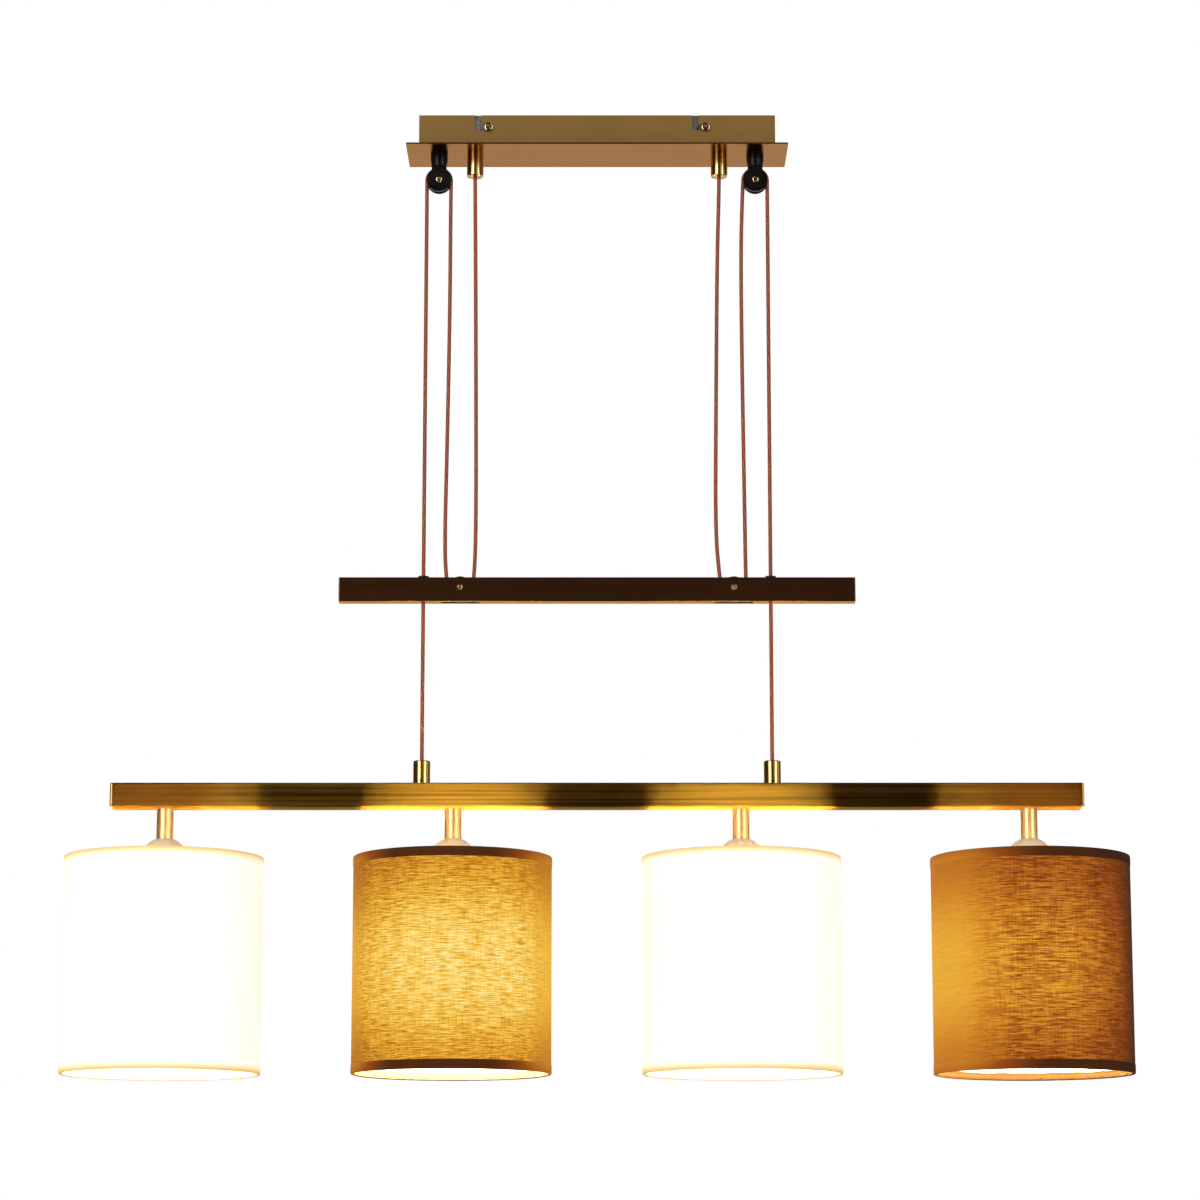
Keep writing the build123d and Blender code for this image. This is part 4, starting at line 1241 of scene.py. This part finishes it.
@dataclass
class Lamps:
    """The four lamps: holders, bulbs, wire frames and shades."""

    bulb_strength: float = 110.0
    bulb_neck: float = 0.02
    glow_height: float = 0.102

    def dress(self) -> None:
        """Finish the lamps' CAD nodes."""
        # The caps' glow is painted light from the bulbs below them.
        cream = Moulded(
            "cream_plastic", (226, 208, 178), (217, 195, 163), 0.38, soft=0.25, glow=(40, 30, 20)
        )
        dress(cream)
        dress(Moulded("white_wire", (234, 230, 222), (218, 213, 203), 0.4))
        stem_brass = BrushedMetal(
            "stem_brass", (255, 226, 158), (250, 210, 136), 0.42, Grain.ROUND_POST,
            drawn_out=0.3, contrast=1.0, relief=0.0000005,
        )
        dress(stem_brass, slot="bright_brass", only="stems")
        dress(BrushedMetal("bulb_cap_metal", (190, 188, 184), (150, 148, 144), 0.3, Grain.ROUND_POST))
        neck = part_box("bulb_globes")[1].z - self.bulb_neck
        glass = LitGlass(
            "lit_glass", (255, 238, 205), (255, 200, 130), self.bulb_strength,
            neck + self.bulb_neck, neck - self.bulb_neck * 1.5,
        )
        dress(glass)

    def white(self) -> ShadeLook:
        """Describe the white cloth, which is lit evenly."""
        light = (
            (0.0, (190, 138, 70)),
            (0.4, (255, 228, 160)),
            (0.8, (255, 250, 231)),
            (1.0, (255, 255, 253)),
        )
        tones = ClothTones((228, 224, 214), (221, 215, 204), (224, 194, 136), light, 0.64)
        glow = Glow(
            strength=1.0, depth=0.04, height=self.glow_height, fade=0.98,
            left_drop=0.25, right_drop=0.06, hem=0.95, rim=0.1, side=SideLight(),
        )
        fold = Lining("white_fold", (246, 232, 204), (242, 226, 196), (255, 244, 220), 0.3)
        return ShadeLook("white_cloth", tones, glow, fold)

    def brown(self, fold: Lining, glow: Glow, amber: Colour, honey: Colour) -> ShadeLook:
        """Describe the brown cloth, whose gaps let the light through.

        Args:
            fold: The cloth that is turned in at the rims.
            glow: How the bulb shows.
            amber: The light that comes through where it is half as bright as it gets.
            honey: The light where it is brighter.

        Returns:
            The shade's look.
        """
        light = (
            (0.0, (30, 12, 3)),
            (0.22, (138, 64, 12)),
            (0.45, amber),
            (0.62, honey),
            (0.78, (249, 210, 98)),
            (1.0, (255, 236, 158)),
        )
        tones = ClothTones((58, 31, 11), (47, 24, 8), (55, 34, 15), light, 1.0)
        return ShadeLook("brown_cloth", tones, glow, fold)

    def looks(self) -> List[ShadeLook]:
        """List the four shades' looks from left to right."""
        second = Glow(
            strength=1.08, depth=0.56, height=self.glow_height, fade=0.58,
            left_drop=0.55, right_drop=0.1, hem=0.03, rim=0.8,
            side=SideLight(level=0.58, left=(-1.0, -0.8), right=(1.0, 0.68)),
        )
        fourth = Glow(
            strength=0.64, depth=0.66, height=self.glow_height, fade=0.62,
            left_drop=0.0, right_drop=1.3, hem=0.035, rim=0.8,
            side=SideLight(level=0.62, left=(-0.85, -0.2)),
        )
        pale = Lining("pale_fold", (222, 190, 122), (216, 182, 112), (255, 224, 150), 0.1)
        tan = Lining("tan_fold", (72, 45, 14), (68, 42, 12), (255, 176, 76), 0.36)
        yellow = self.brown(pale, second, (204, 139, 31), (236, 182, 57))
        brown = self.brown(tan, fourth, (204, 128, 32), (233, 174, 52))
        return [self.white(), yellow, self.white(), brown]

    def build(self) -> None:
        """Dress the nodes and make the shades."""
        self.dress()
        lining = Lining("white_lining", (250, 246, 238), (245, 240, 230), (255, 248, 232), 0.5).build()
        for number, look in enumerate(self.looks(), start=1):
            Shade(number, look, lining).build()


@dataclass
class SoftBox:
    """A large soft lamp of the studio."""

    name: str
    place: Point
    aim: Point
    width: float
    height: float
    power: float

    def build(self) -> None:
        """Set the lamp up."""
        lamp = bpy.data.lights.new(self.name, "AREA")
        lamp.shape = "RECTANGLE"
        lamp.size = self.width
        lamp.size_y = self.height
        lamp.energy = self.power
        holder = put(self.name, lamp)
        holder.location = self.place
        holder.rotation_euler = (Vector(self.aim) - Vector(self.place)).to_track_quat("-Z", "Y").to_euler()


@dataclass
class Studio:
    """A plain white studio: camera, pale floor, soft lamps and a white background."""

    camera_place: Point = (0.0030, -3.7018, -1.2173)
    camera_pitch: float = 10.865
    lens: float = 111.008
    floor_z: float = -2.4
    floor_size: float = 14.0
    floor_colour: Colour = (236, 235, 232)
    floor_tone: Colour = (231, 230, 227)
    floor_lift: Colour = (206, 205, 203)
    fill_colour: Colour = (156, 156, 156)
    room_colour: Colour = (53, 39, 38)
    wall_colour: Colour = (170, 168, 164)
    behind: Tuple[float, float] = (0.7, 0.93)
    floor_behind: Tuple[float, float] = (0.4, 2.0)
    wall_from_left: Tuple[float, float] = (0.18, 0.4)
    wall_from_back: Tuple[float, float] = (0.0, 0.3)
    aim: Point = (0.0, 0.0, -0.5)

    def camera(self) -> None:
        """Stand the camera where the photograph was taken from."""
        data = bpy.data.cameras.new("camera")
        data.lens = self.lens
        camera = put("camera", data)
        camera.location = self.camera_place
        camera.rotation_euler = (math.radians(90 + self.camera_pitch), 0, 0)
        bpy.context.scene.camera = camera

    def floor(self) -> None:
        """Lay the floor.

        The camera sees it pale. Metal and glass mirror it as pale behind the object and as a dim room in
        front.
        """
        bpy.ops.object.select_all(action="DESELECT")
        bpy.ops.mesh.primitive_plane_add(size=self.floor_size, location=(0, 0, self.floor_z))
        plane = bpy.context.object
        plane.name = "floor"
        bench = Bench.material("floor")
        place = bench.place()
        tone = bench.ease(bench.speckle(place, 0.6, detail=1.0), 0.3, 0.7)
        path = bench.add("LightPath", {})
        mirrored = bench.sum("MAXIMUM", path.outputs["Is Glossy Ray"], path.outputs["Is Transmission Ray"])
        pale = bench.mix(tone, linear(self.floor_colour), linear(self.floor_tone))
        behind = bench.ease(bench.axis(place, "Y"), *self.floor_behind)
        shown = bench.mix(behind, linear(self.room_colour), linear(self.floor_colour))
        bench.surface(
            Base_Color=bench.mix(mirrored, pale, BLACK),
            Roughness=0.8,
            Specular_IOR_Level=0.0,
            Emission_Color=bench.mix(path.outputs["Is Camera Ray"], shown, linear(self.floor_lift)),
            Emission_Strength=bench.sum("MAXIMUM", mirrored, path.outputs["Is Camera Ray"]),
        )
        plane.data.materials.append(bench.owner)

    def background(self) -> None:
        """Make the world.

        The camera sees white. Metal mirrors white behind the object, a pale wall at the right and a dim
        warm room in front. What is matt gets an even fill.
        """
        world = bpy.data.worlds.new("studio")
        bpy.context.scene.world = world
        bench = Bench(world, "Background")
        way = bench.add("TexCoord", {}).outputs["Generated"]
        right, back = bench.axis(way, "X"), bench.axis(way, "Y")
        beside = bench.ease(right, *self.wall_from_left)
        wall = bench.sum("MULTIPLY", beside, bench.ease(back, *self.wall_from_back, 1.0, 0.0))
        room = bench.mix(wall, linear(self.room_colour), linear(self.wall_colour))
        mirrored = bench.mix(bench.ease(back, *self.behind), room, WHITE)
        path = bench.add("LightPath", {})
        lit = bench.mix(path.outputs["Is Glossy Ray"], linear(self.fill_colour), mirrored)
        clear = bench.mix(path.outputs["Is Transmission Ray"], lit, WHITE)
        bench.surface(Color=bench.mix(path.outputs["Is Camera Ray"], clear, WHITE))

    def build(self) -> None:
        """Set the studio up."""
        bpy.context.scene.view_settings.view_transform = "Standard"
        self.camera()
        self.floor()
        self.background()
        SoftBox("key_lamp", (-2.05, -3.05, 0.4), self.aim, width=1.8, height=3.4, power=70.0).build()
        SoftBox("fill_lamp", (2.85, -2.66, 0.4), self.aim, width=0.8, height=3.4, power=34.0).build()


def main() -> None:
    """Build the studio and dress the light."""
    logging.basicConfig(level=logging.INFO, format="%(message)s")
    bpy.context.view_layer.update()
    Studio().build()
    sheath = CordSheath("copper_cord", (172, 84, 36), (100, 45, 18)).build()
    for side in SIDES:
        CordRun(side).build(BENDS[side], sheath)
    CeilingBox().dress()
    Counterweight().dress()
    LampBar().dress()
    Lamps().build()


if __name__ == "__main__":
    main()
